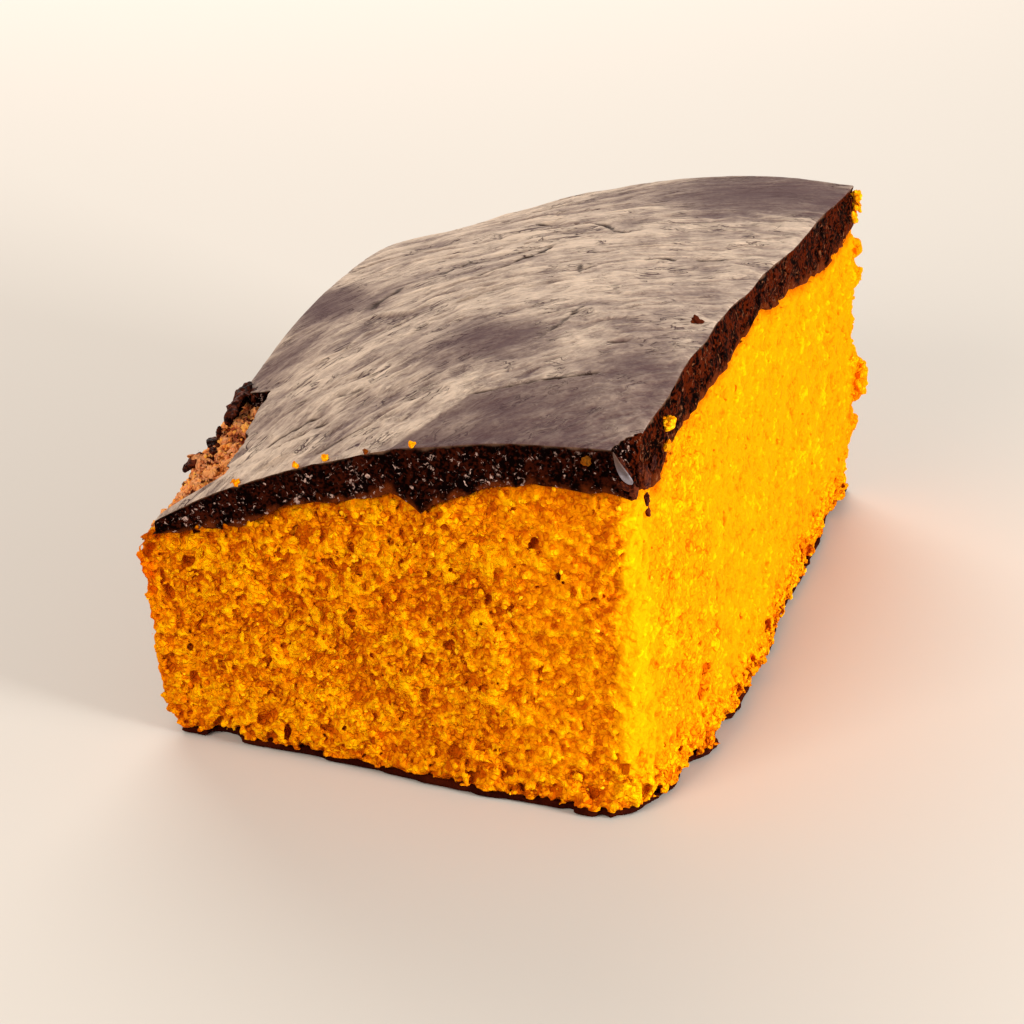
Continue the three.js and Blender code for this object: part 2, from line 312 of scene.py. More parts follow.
def torn_at(points):
    """How far each place lies inside one of the small tears, in mm."""
    inside = np.full(len(points), -9, np.float32)
    ragged = 0.35 * drift(points, 0.9, 18)
    for y, z, half_y, half_z in TEARS:
        middle = right_cut_at(y, z), y, z
        away = np.linalg.norm((points - middle) / (TEAR_DEEP, half_y, half_z), axis=1)
        inside = np.maximum(inside, (1 - away - ragged) * TEAR_DEEP)
    return inside.astype(np.float32)


class Batch:
    """A block of voxels that holds how far each lies outside a solid, in mm. Its low corner is on
    the lattice of voxels, so that neighbouring blocks share their lattice."""

    def __init__(self, low, depth):
        self.low = np.asarray(low)
        self.depth = depth

    def places(self, keys):
        """Where those voxels lie, in mm."""
        index = np.stack(np.unravel_index(keys, self.depth.shape), 1) + self.low
        return (index * VOXEL).astype(np.float32)

    def keys_at(self, points):
        """The voxels nearest to points, short of the block's rim."""
        index = np.rint(points / VOXEL).astype(int) - self.low
        index = np.clip(index, 1, np.array(self.depth.shape) - 2)
        return np.ravel_multi_index(index.T, self.depth.shape)

    def keys_within(self, spans, rim=0):
        """The voxels inside a box: its two ends in mm along each axis, or None where it runs on to
        the rim of the block, which can be left out."""
        ends = [
            slice(
                rim if start is None else int(start / VOXEL) - first,
                count - rim if stop is None else int(stop / VOXEL) - first,
            )
            for (start, stop), first, count in zip(spans, self.low, self.depth.shape)
        ]
        return np.arange(self.depth.size).reshape(self.depth.shape)[tuple(ends)].ravel()

    def swell(self, axis, way, spans, high_at):
        """Moves the skin inside a box out by high_at(x, y, z), where it faces that way."""
        keys = self.keys_within(spans, rim=1)
        facing = np.clip(way * self.outward(keys)[:, axis], 0, 1)
        high = high_at(*self.places(keys).T) * facing
        self.depth.ravel()[keys] -= high.astype(np.float32)

    def outward(self, keys):
        """The direction out of the solid at those voxels."""
        flat = self.depth.ravel()
        strides = (self.depth.shape[1] * self.depth.shape[2], self.depth.shape[2], 1)
        way = np.stack([flat[keys + s] - flat[keys - s] for s in strides], 1)
        return way / np.maximum(np.linalg.norm(way, axis=1, keepdims=True), 1e-6)

    def dab(self, centres, radii, reach, lay, seed):
        """Lays an angular lump on the voxels around each centre: lay(keys, gap), where gap is how
        far each voxel lies outside the lump."""
        chance = np.random.default_rng(seed)
        faces = chance.normal(size=(LUMP_FACES, len(centres), 3)).astype(np.float32)
        faces /= np.linalg.norm(faces, axis=2, keepdims=True)
        drawn = chance.uniform(0.55, 1.0, (LUMP_FACES, len(centres))).astype(np.float32)
        seat = np.rint(centres / VOXEL).astype(int)
        inner = np.array(self.depth.shape) - 1
        steps = int(math.ceil((radii.max() * 1.1 + reach) / VOXEL))
        for step in itertools.product(range(-steps, steps + 1), repeat=3):
            arm = ((seat + step) * VOXEL - centres).astype(np.float32)
            gap = np.sqrt((arm**2).sum(1)) - 1.08 * radii
            for face, out in zip(faces, drawn):
                gap = np.maximum(gap, (arm * face).sum(1) - out * radii)
            index = seat + step - self.low
            good = (gap < reach) & (index > 0).all(1) & (index < inner).all(1)
            if good.any():
                keys = np.ravel_multi_index(index[good].T, self.depth.shape)
                lay(keys, gap[good])


def drift_through(block, grain, seed):
    """The same chance as drift gives, for every voxel of a block."""
    table = chance_table(seed)
    for axis, count in enumerate(block.depth.shape):
        at = (np.arange(count) + block.low[axis]) * VOXEL / grain
        cell = np.floor(at).astype(int)
        part = smooth_step(at - cell).astype(np.float32)
        part = part.reshape([-1 if n == axis else 1 for n in range(3)])
        lower = np.take(table, cell % TABLE, axis)
        table = lower + (np.take(table, (cell + 1) % TABLE, axis) - lower) * part
    return 2 * table - 1


def packed_points(node):
    """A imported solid's points, in mm in the shaping frame, and its triangles."""
    solid = bmesh.new()
    solid.from_mesh(frame["nodes"][node].data)
    bmesh.ops.remove_doubles(solid, verts=solid.verts, dist=1e-6)
    bmesh.ops.triangulate(solid, faces=solid.faces)
    solid.verts.index_update()
    points = np.array([v.co for v in solid.verts]) * 1000 + [*MIDDLE, 0]
    corners = np.array([[v.index for v in f.verts] for f in solid.faces], np.uint32)
    solid.free()
    return points.astype(np.float32), corners


def softened(depth, passes):
    """The same solid with its flat faces rounded into each other."""
    for _ in range(passes):
        for axis in range(3):
            run = np.moveaxis(depth, axis, 0)
            run[1:-1] = 0.25 * (run[:-2] + run[2:]) + 0.5 * run[1:-1]
    return depth


cake_points, cake_corners = packed_points("carrot_crumb")
low = np.floor((cake_points.min(0) - ROOM) / VOXEL).astype(int)
high = np.ceil((cake_points.max(0) + ROOM) / VOXEL).astype(int)
cake_grid = openvdb.FloatGrid.createLevelSetFromPolygons(
    cake_points,
    triangles=cake_corners,
    transform=openvdb.createLinearTransform(VOXEL),
    halfWidth=ROOM / VOXEL,
)
depth = np.empty(high - low, np.float32)
cake_grid.copyToArray(depth, ijk=tuple(int(n) for n in low))
sharp = depth.copy()
heights = (np.arange(depth.shape[2]) + low[2]) * VOXEL
depth = sharp + (softened(depth, SOFTENING) - sharp) * smooth_step((heights - 1.0) / 1.2)
foot = int(1.0 / VOXEL) - low[2]
depth[..., :foot] = depth[..., foot : foot + 1]
cake = Batch(low, depth.astype(np.float32))

# The knife drew the upright edge between the front and right cuts round.
edge_keys = cake.keys_within(((54, None), (None, 5), (None, None)))
x, y, z = cake.places(edge_keys).T
bumpy = RELIEF * unevenness(x, 0 * y, z, RELIEF_GRAIN)
past_right = x - right_cut_at(y, z) - bumpy + NEAR_EDGE
past_front = -y - bumpy + NEAR_EDGE
rounded = np.hypot(np.maximum(past_right, 0), np.maximum(past_front, 0)) - NEAR_EDGE
rounded = np.where((past_right > 0) & (past_front > 0), rounded, -9).astype(np.float32)
cake.depth.ravel()[edge_keys] = np.maximum(cake.depth.ravel()[edge_keys], rounded)

# It swells a little past the tin's line under the glaze, at the front of the tin side, and out of
# the far end of the right cut.
cake.swell(
    0, -1, ((None, 8), (None, 9), (None, None)),
    lambda x, y, z: TIN_SWELL * smooth_step((8 - y) / 6) * smooth_step((z - 14) / 8),
)
cake.swell(
    0, 1, ((56, None), (78, None), (None, None)),
    lambda x, y, z: FAR_SWELL * smooth_step((y - 79) / 9) * smooth_step((z - 2) / 7),
)
# The right cut's foot has two hollows under it, and along the floor the front stands out a little.
foot_keys = cake.keys_within(((60, None), (None, 30), (None, 6)))
at = cake.places(foot_keys)
for middle, half in FOOT_HOLLOWS:
    away = np.linalg.norm((at - middle) / half, axis=1) - 1 + 0.3 * drift(at, 1.8, 17)
    both = HOLLOW_KNIT * cake.depth.ravel()[foot_keys], -HOLLOW_KNIT * min(half) * away
    cake.depth.ravel()[foot_keys] = np.logaddexp(*both).astype(np.float32) / HOLLOW_KNIT
cake.swell(
    1, -1, ((22, 64), (None, 4), (None, 5)),
    lambda x, y, z: FRONT_FOOT_SWELL * smooth_step((3.4 - z) / 3) * smooth_step((x - 24) / 12)
    * smooth_step((63.5 - x) / 4),
)

BAND = 1.5  # how near the skin a voxel is worked on
GRAIN_REACH = 1.6  # how near the skin a grain is seeded
KNIT = 10.0  # how sharply grains meet, per mm
# For the front, right and back cuts and the torn strip: how far the ground lies behind the cut,
# how far out a grain's middle may lie, and the share of places that hold a grain.
GROUND = np.array([0.62, 0.30, 0.6, 0.5], np.float32)
GRAIN_OUT = np.array([-0.10, -0.26, -0.10, -0.05], np.float32)
GRAIN_SHARE = np.array([0.86, 0.9, 0.86, 0.8], np.float32)


def is_strip(points):
    """Where the glaze was pulled off and the crumb's own top shows."""
    x, y, z = points.T
    beside = x - tin_side_at(z, top_at(0, y)) < torn_inset_at(y) + 0.6
    return beside & (y > TORN_FROM) & (y < TORN_TO) & (z > crumb_top_at(x, y) - 2.5)


def cut_shares(points, outward):
    """How much of each kind of cut a place has, in a column each. Tin side and base have none."""
    x, y, z = outward.T
    foot = np.where(points[:, 2] < 9, np.abs(z), 0)
    front = np.where(y < 0, y * y, 0) + np.where(points[:, 1] < 6, foot, 0)
    side = np.where(x < 0, x * x, 0) * smooth_step((5 - points[:, 1]) / 2)
    rubbed = smooth_step((points[:, 0] - 58.2) / 2.2) * (points[:, 1] < 6)
    rubbed = np.maximum(rubbed, 0.42 * smooth_step((points[:, 0] - 40) / 12))
    right = np.where(x > 0, x * x, 0) + np.where(points[:, 1] >= 6, foot, 0)
    lumpy = smooth_step((9 - points[:, 2]) / 7) * (x > 0)
    front, right = front + right * lumpy, right * (1 - lumpy)
    rubbed = rubbed * (1 - lumpy)
    return np.stack(
        [
            front * (1 - rubbed),
            right + front * rubbed + side,
            np.where(y > 0, y * y, 0),
            np.where(is_strip(points), z * z, 0),
        ],
        1,
    ).clip(0, 1)


def seeded_grains(batch, spacing, radius, seed):
    """Grains on a jittered lattice near the skin: centres, radii and cut shares."""
    chance = np.random.default_rng(seed)
    start = batch.low * VOXEL
    counts = (np.array(batch.depth.shape) * VOXEL / spacing).astype(int)
    cells = np.stack(np.meshgrid(*(np.arange(n) for n in counts), indexing="ij"), -1).reshape(-1, 3)
    centres = start + (cells + chance.random((len(cells), 3))) * spacing
    radii = radius[0] + (radius[1] - radius[0]) * chance.random(len(cells)) ** 1.3
    luck = chance.random(len(cells))
    keys = batch.keys_at(centres)
    outside = batch.depth.ravel()[keys]
    near = np.abs(outside) < GRAIN_REACH
    centres, radii, luck, keys, outside = (a[near] for a in (centres, radii, luck, keys, outside))
    shares = cut_shares(centres, batch.outward(keys))
    return centres, radii.astype(np.float32), luck, outside, shares


band = np.flatnonzero(np.abs(cake.depth.ravel()) < BAND)
band_shares = cut_shares(cake.places(band), cake.outward(band))
band, band_shares = (a[band_shares.sum(1) > 0.04] for a in (band, band_shares))
band_points = cake.places(band)
rough = band_shares.sum(1).clip(0, 1)
clumps = (drift_through(cake, 3.4, 11) * 0.22 + drift_through(cake, 1.7, 12) * 0.12).ravel()
grit = (drift_through(cake, 0.85, 13) * 0.13 + drift_through(cake, 0.5, 14) * 0.12).ravel()[band]
foot_tear = (drift_through(cake, 2.6, 15) * 1.8 + drift_through(cake, 1.2, 16) * 0.5).ravel()[band]
foot_tear = np.maximum(foot_tear - 0.25, -0.3) * smooth_step((4.5 - band_points[:, 2]) / 3)
coarse = band_shares @ np.array([1.0, 0.45, 1.0, 0.9], np.float32)

filled = np.exp(-KNIT * cake.depth.clip(-BAND, BAND))
flat = filled.ravel()
ground = cake.depth.ravel()[band] + band_shares @ GROUND + rough * grit
ground += coarse * (clumps[band] + foot_tear)
flat[band] = np.exp(-KNIT * ground)


def add_grain(keys, gap):
    np.add.at(flat, keys, np.exp(-KNIT * gap).astype(np.float32))


for spacing, radius, out, share, seed in (
    (0.74, (0.30, 0.52), 0.0, 1.0, 21),
    (1.55, (0.6, 1.05), -0.36, 0.5, 22),
):
    centres, radii, luck, outside, shares = seeded_grains(cake, spacing, radius, seed)
    kept = (shares.sum(1) > 0.3) & (luck < share * (shares @ GRAIN_SHARE))
    kept &= outside < out + shares @ GRAIN_OUT - clumps[cake.keys_at(centres)]
    kept &= outside > -1.25
    cake.dab(centres[kept], radii[kept], 0.45, add_grain, seed)

relief = -np.log(np.maximum(flat, 1e-12)) / KNIT
relief[band] += grit * (0.35 + 0.65 * coarse) * rough
relief = relief.reshape(cake.depth.shape).astype(np.float32)


def carve_pits(spacing, radius, share, sunk, seed):
    """Pits of a chance size left where a grain came away."""
    centres, radii, luck, outside, shares = seeded_grains(cake, spacing, radius, seed)
    kept = (shares.sum(1) > 0.5) & (luck < shares @ share)
    kept &= (outside > sunk[0]) & (outside < sunk[1])
    carved = relief.ravel()
    cake.dab(
        centres[kept],
        radii[kept],
        0.3,
        lambda keys, gap: np.maximum.at(carved, keys, -gap.astype(np.float32)),
        seed,
    )


carve_pits(2.3, (0.6, 1.1), np.array([0.34, 0.0, 0.34, 0.2]), (-0.9, 0.4), 31)
carve_pits(1.3, (0.28, 0.5), np.array([0.42, 0.06, 0.42, 0.3]), (-0.5, 0.3), 32)

tear_keys = cake.keys_within(((60, None), (7, 32), (5, 28)))
tear = torn_at(cake.places(tear_keys))
relief.ravel()[tear_keys] = np.maximum(relief.ravel()[tear_keys], tear)

# Under the chocolate the crumb stays smooth and lies just below it.
x, y, z = band_points.T
lid = z - (crumb_top_at(x, y) + 0.2)
covered = ~is_strip(band_points) & (z > crumb_top_at(x, y) - 3)
ceiling = np.where(covered, lid, -9)
relief_flat = relief.ravel()
relief_flat[band] = np.maximum(relief_flat[band], ceiling)

# The browned crust lies against the tin: its inner face, with a ragged edge.
CRUST_THICK = 1.0
crust_inner = np.full(cake.depth.size, 9.0, np.float32)
near_crust = np.flatnonzero(np.abs(cake.depth.ravel()) < 2.2)
x, y, z = cake.places(near_crust).T
inside_tin = np.minimum(x - tin_side_at(z, top_at(0, y)), z)
ragged = drift_through(cake, 1.6, 41).ravel()[near_crust]
# It broke away beside the bare strip and along the front cut, where crumb shows to the edge.
y_end = 3.0 + 1.5 * ragged
gone = np.maximum(
    smooth_step((z - crumb_top_at(x, y) + 2.6 + 0.9 * ragged) / 0.7) * (y < TORN_TO),
    smooth_step((y_end - y) / 0.8) * smooth_step((z - 1.2 - ragged) / 0.8),
)
crust_inner[near_crust] = inside_tin - CRUST_THICK - 0.3 * ragged + 4 * gone
crust_inner = crust_inner.reshape(cake.depth.shape)


def skin_of(depth, low, voxel=VOXEL):
    """The skin of a block of voxels, as points in mm and triangles that face outwards."""
    grid = openvdb.FloatGrid(voxel * 3)
    grid.copyFromArray(np.clip(depth, -voxel * 3, voxel * 3), ijk=tuple(int(n) for n in low))
    grid.transform = openvdb.createLinearTransform(voxel)
    points, triangles, quads = grid.convertToPolygons(isovalue=0, adaptivity=0)
    corners = np.concatenate([triangles.reshape(-1, 3), quads[:, :3], quads[:, [0, 2, 3]]])
    a, b, c = (points[corners[:, n]].astype(float) for n in range(3))
    if np.einsum("ij,ij->", a, np.cross(b, c)) < 0:
        corners = corners[:, ::-1]
    return points, corners.astype(np.int32)


def mesh_piece(name, points, corners):
    """A mesh object from points in mm in the shaping frame."""
    mesh = bpy.data.meshes.new(name)
    mesh.vertices.add(len(points))
    mesh.vertices.foreach_set("co", ((points - [*MIDDLE, 0]) / 1000).astype(np.float32).ravel())
    mesh.loops.add(corners.size)
    mesh.loops.foreach_set("vertex_index", corners.ravel())
    mesh.polygons.add(len(corners))
    mesh.polygons.foreach_set("loop_start", np.arange(0, corners.size, 3, dtype=np.int32))
    mesh.update(calc_edges=True)
    mesh.validate()
    piece = bpy.data.objects.new(name, mesh)
    bpy.context.scene.collection.objects.link(piece)
    return piece


def finish_mesh(piece):
    """Puts the piece's modifiers into its mesh."""
    shown = piece.evaluated_get(bpy.context.evaluated_depsgraph_get())
    made = bpy.data.meshes.new_from_object(shown)
    piece.modifiers.clear()
    spent, piece.data = piece.data, made
    made.name = piece.name
    bpy.data.meshes.remove(spent)


def thinned(piece, triangles):
    """The piece with its flattest triangles merged until so many are left."""
    count = len(piece.data.polygons)
    if count > triangles:
        thin = piece.modifiers.new("thin", "DECIMATE")
        thin.ratio = triangles / count
        finish_mesh(piece)
    return piece


def mark(piece, name, values):
    """Writes a value at each of the piece's points."""
    layer = piece.data.attributes.new(name, "FLOAT", "POINT")
    layer.data.foreach_set("value", np.asarray(values, np.float32))


def points_of(piece):
    """A piece's points, back in mm in the shaping frame."""
    flat = np.empty(len(piece.data.vertices) * 3, np.float32)
    piece.data.vertices.foreach_get("co", flat)
    return flat.reshape(-1, 3) * 1000 + np.array([*MIDDLE, 0], np.float32)


def sampled(batch, field, points):
    """The field's value at points, straight between voxels."""
    at = points / VOXEL - batch.low
    cell = np.clip(np.floor(at).astype(int), 0, np.array(field.shape) - 2)
    part = (at - cell).astype(np.float32)
    return blended(cell, part, lambda place: field[tuple(place.T)])


class Wire:
    """A socket in a material. Sums on it add Math nodes, and node() adds any other node."""

    def __init__(self, tree, socket=None):
        self.tree = tree
        self.socket = socket

    def node(self, kind, settings=None, inputs=None, out=0):
        made = self.tree.nodes.new("ShaderNode" + kind)
        for name, value in (settings or {}).items():
            setattr(made, name, value)
        for name, value in (inputs or {}).items():
            if isinstance(value, Wire):
                self.tree.links.new(value.socket, made.inputs[name])
            else:
                made.inputs[name].default_value = value
        return Wire(self.tree, made.outputs[out])

    def sum(self, operation, first, second):
        return self.node("Math", {"operation": operation}, {0: first, 1: second})

    def __add__(self, other):
        return self.sum("ADD", self, other)

    def __sub__(self, other):
        return self.sum("SUBTRACT", self, other)

    def __rsub__(self, other):
        return self.sum("SUBTRACT", other, self)

    def __mul__(self, other):
        return self.sum("MULTIPLY", self, other)

    __radd__ = __add__
    __rmul__ = __mul__

    def __abs__(self):
        return self.node("Math", {"operation": "ABSOLUTE"}, {0: self})

    def noise(self, scale, detail=2.0, out=0, **more):
        """Cloudy chance over these places."""
        inputs = {"Vector": self, "Scale": scale, "Detail": detail, **more}
        return self.node("TexNoise", {}, inputs, out)

    def marked(self, name):
        """What the piece's points carry under that name."""
        return self.node("Attribute", {"attribute_name": name}, out="Fac")

    def bump(self, distance, strength=1.0):
        """The normal that this height gives, where 1 is so many metres."""
        inputs = {"Strength": strength, "Distance": distance, "Height": self}
        return self.node("Bump", {}, inputs)

    def ramp(self, low, high):
        """0 below low, 1 above high and smooth between."""
        settings = {"interpolation_type": "SMOOTHSTEP", "clamp": True}
        return self.node("MapRange", settings, {"Value": self, "From Min": low, "From Max": high})

    def mix(self, first, second):
        """The first colour where this is 0 and the second where it is 1."""
        first, second = (c if isinstance(c, Wire) else (*c, 1) for c in (first, second))
        return self.node("Mix", {"data_type": "RGBA"}, {0: self, 6: first, 7: second}, out=2)

    def tint(self, colour):
        """This colour times another."""
        settings = {"data_type": "RGBA", "blend_type": "MULTIPLY"}
        other = colour if isinstance(colour, Wire) else (*colour, 1)
        return self.node("Mix", settings, {0: 1.0, 6: self, 7: other}, out=2)


def new_finish(name, **constants):
    """A material, its places in Object coordinates, and the shader that it ends in."""
    material = bpy.data.materials.new(name)
    material.use_nodes = True
    shader = material.node_tree.nodes["Principled BSDF"]
    for socket, value in constants.items():
        shader.inputs[socket.replace("_", " ")].default_value = value
    return material, Wire(material.node_tree).node("TexCoord", out="Object"), shader


def feed(shader, **wires):
    """Links wires to the shader's sockets."""
    for socket, wire in wires.items():
        shader.id_data.links.new(wire.socket, shader.inputs[socket.replace("_", " ")])


# Crumb colours: the pit colour is painted shade in the pits and tears, the tip colour a painted
# highlight on the proudest grains, and the grain colour between them the crumb's own orange. The
# loose crumbs use the pit colour as a dark tone of their own.
DARK_TONE_AND_PIT_SHADE = (0.57, 0.098, 0.0005)
GRAIN = (0.88, 0.262, 0.0008)
LIT_TIP = (0.98, 0.412, 0.001)
SOAKED = (0.42, 0.14, 0.12)
PEACH = (0.86, 0.37, 0.16)
PEACH_PIT_SHADE = (0.16, 0.035, 0.012)
BAKED = (0.86, 0.34, 0.3)
# The front cut's edge beside the right cut is painted yellower, as the painted glow of light shining
# through the crumb from the lit right cut.
LIT_CORNER_TINT = (1.0, 1.25, 1.0)
FLAKE_SCALE = 1450.0
SWAY = 0.0007

crumb_finish, place, crumb_shader = new_finish(
    "carrot_crumb", Roughness=0.9, Specular_IOR_Level=0.006
)
marks = {
    name: place.marked(name)
    for name in ("proud", "soaked", "baked", "bare", "footing", "smeared", "corner")
}
speck = place.noise(2300.0, 3.0)
patch = place.noise(260.0)
sway = {0: place.noise(900.0, out="Color"), 1: (SWAY, SWAY, SWAY), 2: place}
wobbled = place.node("VectorMath", {"operation": "MULTIPLY_ADD"}, sway)
flake = place.node("TexVoronoi", {}, {"Vector": wobbled, "Scale": FLAKE_SCALE}, out="Color")
flake = flake.node("SeparateColor", {}, {0: flake})
# The dark lines between the grains (gap) are painted shade.
gap = {"Vector": wobbled, "Scale": FLAKE_SCALE}
gap = place.node("TexVoronoi", {"feature": "DISTANCE_TO_EDGE"}, gap).ramp(0.0, 0.30)
cell = place.node("TexVoronoi", {}, {"Vector": wobbled, "Scale": 2300.0})
crisp = 1 - marks["smeared"] * 0.72
granular = (speck - 0.5) * 1.25 + (flake - 0.5) * 1.0 + (gap - 0.75) * 0.45 + 0.30
# The level sets the colour: how far a place stands out, painted as shade in pits and as highlight on
# tips, plus each grain's own chance tone.
level = marks["proud"] + granular * crisp + (patch - 0.5) * (0.35 + crisp * 0.5)
# Towards the floor the crumb is painted darker, as painted contact shade.
level = level - marks["footing"] * (0.35 + patch * 0.5)
colour = level.ramp(-0.85, -0.12).mix(DARK_TONE_AND_PIT_SHADE, GRAIN)
colour = level.ramp(-0.05, 0.42).mix(colour, LIT_TIP)
colour = marks["corner"].mix(colour, colour.tint(LIT_CORNER_TINT))
toasted = (marks["baked"] * 0.38 + patch * 0.8 + speck * 0.35).ramp(0.86, 1.1)
colour = toasted.mix(colour, colour.tint(BAKED))
# On the bare strip the crumb runs from a dark peach in its pits and gaps, which is painted shade, to
# pale peach on its tips.
peach = (level + flake * 0.5).ramp(-0.6, 0.25).mix(PEACH_PIT_SHADE, PEACH)
colour = (marks["bare"] * (0.6 + flake * 0.5)).mix(colour, peach)
colour = marks["soaked"].mix(colour, colour.tint(SOAKED))
height = (speck * 1.2 - cell * 0.9 + flake * 0.4 + gap * 0.7) * crisp
feed(crumb_shader, Base_Color=colour, Normal=height.bump(0.00024))

CRUMB_CUTS = (-9.0, 14.0, 81.0, 110.0)
CRUMB_FACES = 196000
CRUMB_FOOT = 0.15  # the crumb ends that far above the floor, on the crust
CRUMB_ANGLE = math.radians(48)  # an edge sharper than that isn't shaded smooth
OVERLAP = 0.03  # how far each length runs into the next

sponge = np.maximum(relief, -crust_inner)
sponge = np.maximum(sponge, CRUMB_FOOT - heights)
ys = (np.arange(sponge.shape[1]) + cake.low[1]) * VOXEL
for name, start_y, end_y in zip(("front", "middle", "back"), CRUMB_CUTS, CRUMB_CUTS[1:]):
    near = np.flatnonzero((ys > start_y - 1.2) & (ys < end_y + 1.2))
    length = sponge[:, near].copy()
    ends = np.maximum(start_y - OVERLAP - ys[near], ys[near] - end_y - OVERLAP)
    length = np.maximum(length, ends[None, :, None])
    points, corners = skin_of(length, cake.low + [0, near[0], 0])
    piece = thinned(mesh_piece(f"crumb_{name}", points, corners), CRUMB_FACES)
    piece.data.shade_smooth()
    piece.data.set_sharp_from_angle(angle=CRUMB_ANGLE)
    points = points_of(piece)
    # How far each point stands out, less the insides of the tears, is kept so that the colour paints
    # shade into pits and tears.
    shaded = 0.9 * smooth_step((torn_at(points) + 0.1) / 0.5)
    mark(piece, "proud", sampled(cake, cake.depth, points) - shaded)
    x, y, z = points.T
    strip = np.where(is_strip(points), smooth_step((z - crumb_top_at(x, y) + 1.6) / 0.8), 0)
    mark(piece, "bare", strip)
    seam = smooth_step((z - crumb_top_at(x, y) + 2.1) / 1.8) * (0.6 + 0.4 * drift(points, 1.4, 51))
    dark = smooth_step((drift(points, 1.5, 52) - 0.35) / 0.3)
    mark(piece, "soaked", np.where(strip > 0.1, dark * strip * 0.9, seam * 0.9))
    # How much painted contact shade each point takes near the floor.
    mark(piece, "footing", smooth_step((3.6 + drift(points, 2.0, 53) - z) / 3.2))
    spots = smooth_step((drift(points, 4.5, 54) + 0.35) / 0.8)
    shares = cut_shares(points, cake.outward(cake.keys_at(points)))
    grainy = smooth_step((y - 4) / 4) * smooth_step((27 - y) / 9)
    mark(piece, "smeared", shares[:, 1] * (1 - 0.42 * grainy))
    # corner: where that painted glow from the lit right cut lies on the front cut.
    corner = smooth_step((x - 58.6) / 1.2) * smooth_step((5.5 - y) / 2.5) * (z < crumb_top_at(x, y))
    mark(piece, "corner", corner)
    loose = shares @ np.array([0.20, 0.03, 0.20, 0.0]) * spots + strip * 3.2
    mark(piece, "loose", loose * (z < crumb_top_at(x, y) + 0.4))
    mark(piece, "baked", 1 - smooth_step((x - tin_side_at(z, top_at(0, y)) - 1.0) / 4.5))
    piece.data.materials.append(crumb_finish)
    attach(piece, "root")
    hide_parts("carrot_crumb")

# ---- Crust ------------------------------------------------------------------------------------
# The thin browned crust that baked against the floor and the side of the tin. The cuts end it in a
# ragged edge a little behind the crumb.
CRUST_FACES = 110000

wear = np.zeros(cake.depth.size, np.float32)
wear[band] = (0.12 + 0.75 * foot_tear.clip(0, 1)) * band_shares[:, :3].sum(1).clip(0, 1)
wear = wear.reshape(cake.depth.shape) + 0.10 + 0.30 * drift_through(cake, 1.3, 61)
wear = wear * (0.45 + 0.55 * smooth_step((heights - 0.6) / 1.5))
shell = np.maximum(cake.depth + wear, crust_inner - 0.12)
shell = np.maximum(shell, 0.02 - heights)
# It is flatter than the crumb, so every second voxel will do.
first = cake.low % 2
shell = shell[first[0] :: 2, first[1] :: 2, first[2] :: 2]
points, corners = skin_of(shell, (cake.low + first) // 2, VOXEL * 2)
crust = thinned(mesh_piece("crust", points, corners), CRUST_FACES)
crust.data.shade_smooth()
mark(crust, "floorward", 1 - smooth_step((points_of(crust)[:, 2] - 1.4) / 2.5))

DARK_CRUST = (0.16, 0.035, 0.008)
PALE_CRUST = (0.42, 0.125, 0.014)
FLOORWARD_DARK = (0.11, 0.035, 0.03)

crust_finish, place, crust_shader = new_finish(
    "browned_crust", Roughness=0.8, Specular_IOR_Level=0.03
)
toast = place.noise(160.0, 5.0)
grit = place.noise(1100.0, 3.0)
colour = (toast + (grit - 0.5) * 0.5).ramp(0.3, 0.7).mix(DARK_CRUST, PALE_CRUST)
# The crust is darker towards the floor.
colour = place.marked("floorward").mix(colour, colour.tint(FLOORWARD_DARK))
feed(crust_shader, Base_Color=colour, Normal=(grit + toast * 0.6).bump(0.00045))
crust.data.materials.append(crust_finish)
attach(crust, "root")
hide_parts("carrot_crumb")

# ---- Chocolate glaze --------------------------------------------------------------------------
# Cocoa glaze poured over the whole tray and set. Its skin is dull and drew together in fine
# wrinkles; where it was cut it is dark and moist and full of small holes, whose glints are
# painted into its colour as highlights.
CHIP = (63.2, -1.7, 47.0)  # the lump that the knife broke off the near corner
CHIP_HALF = (5.3, 6.9, 4.6)
GLAZE_ACROSS = 176
GLAZE_ALONG = 304
BAND_ROWS = 22
UNDER_SKIN = 0.98  # where up the band its first row lies
UNDER_LEFT = 0.05  # the share of the hidden underside's triangles that is kept
GLAZE_ANGLE = math.radians(55)
SINK = 0.6  # how far the chocolate reaches into the crumb's top, at most
ARC_CENTRE = (78.5, -27)  # the wrinkles run in arcs about this point
ARC_REACH = 70  # and turns are measured along an arc of this radius

# Smooth dull places of the skin: x, y, half width, half length, strength.
CALM_PLACES = (
    (52, 87, 16, 10, 1.0),
    (35, 24, 9, 7, 0.95),
    (56, 14, 8, 15, 0.7),
    (57, 37, 5, 9, 0.2),
    (5, 44, 7, 8, 0.9),
    (14, 43, 3, 5, 0.55),
    (6, 30, 5, 9, 0.6),
    (9, 17, 4, 9, 0.3),
    (31, 86, 6, 7, 0.35),
)
# The fold in front of which the skin lies smooth, from the front cut to the right.
FOLD = ((30, -3), (34, 4), (38, 11.4), (42, 12.8), (46, 14.2), (51.5, 15.8), (64, 17))
# Wrinkles of three sizes: their width across the arcs and length along them, strength and seed.
FOLDS = ((2.8, 11, 0.34, 73), (1.5, 5.5, 0.36, 74), (0.85, 3.2, 0.30, 75))
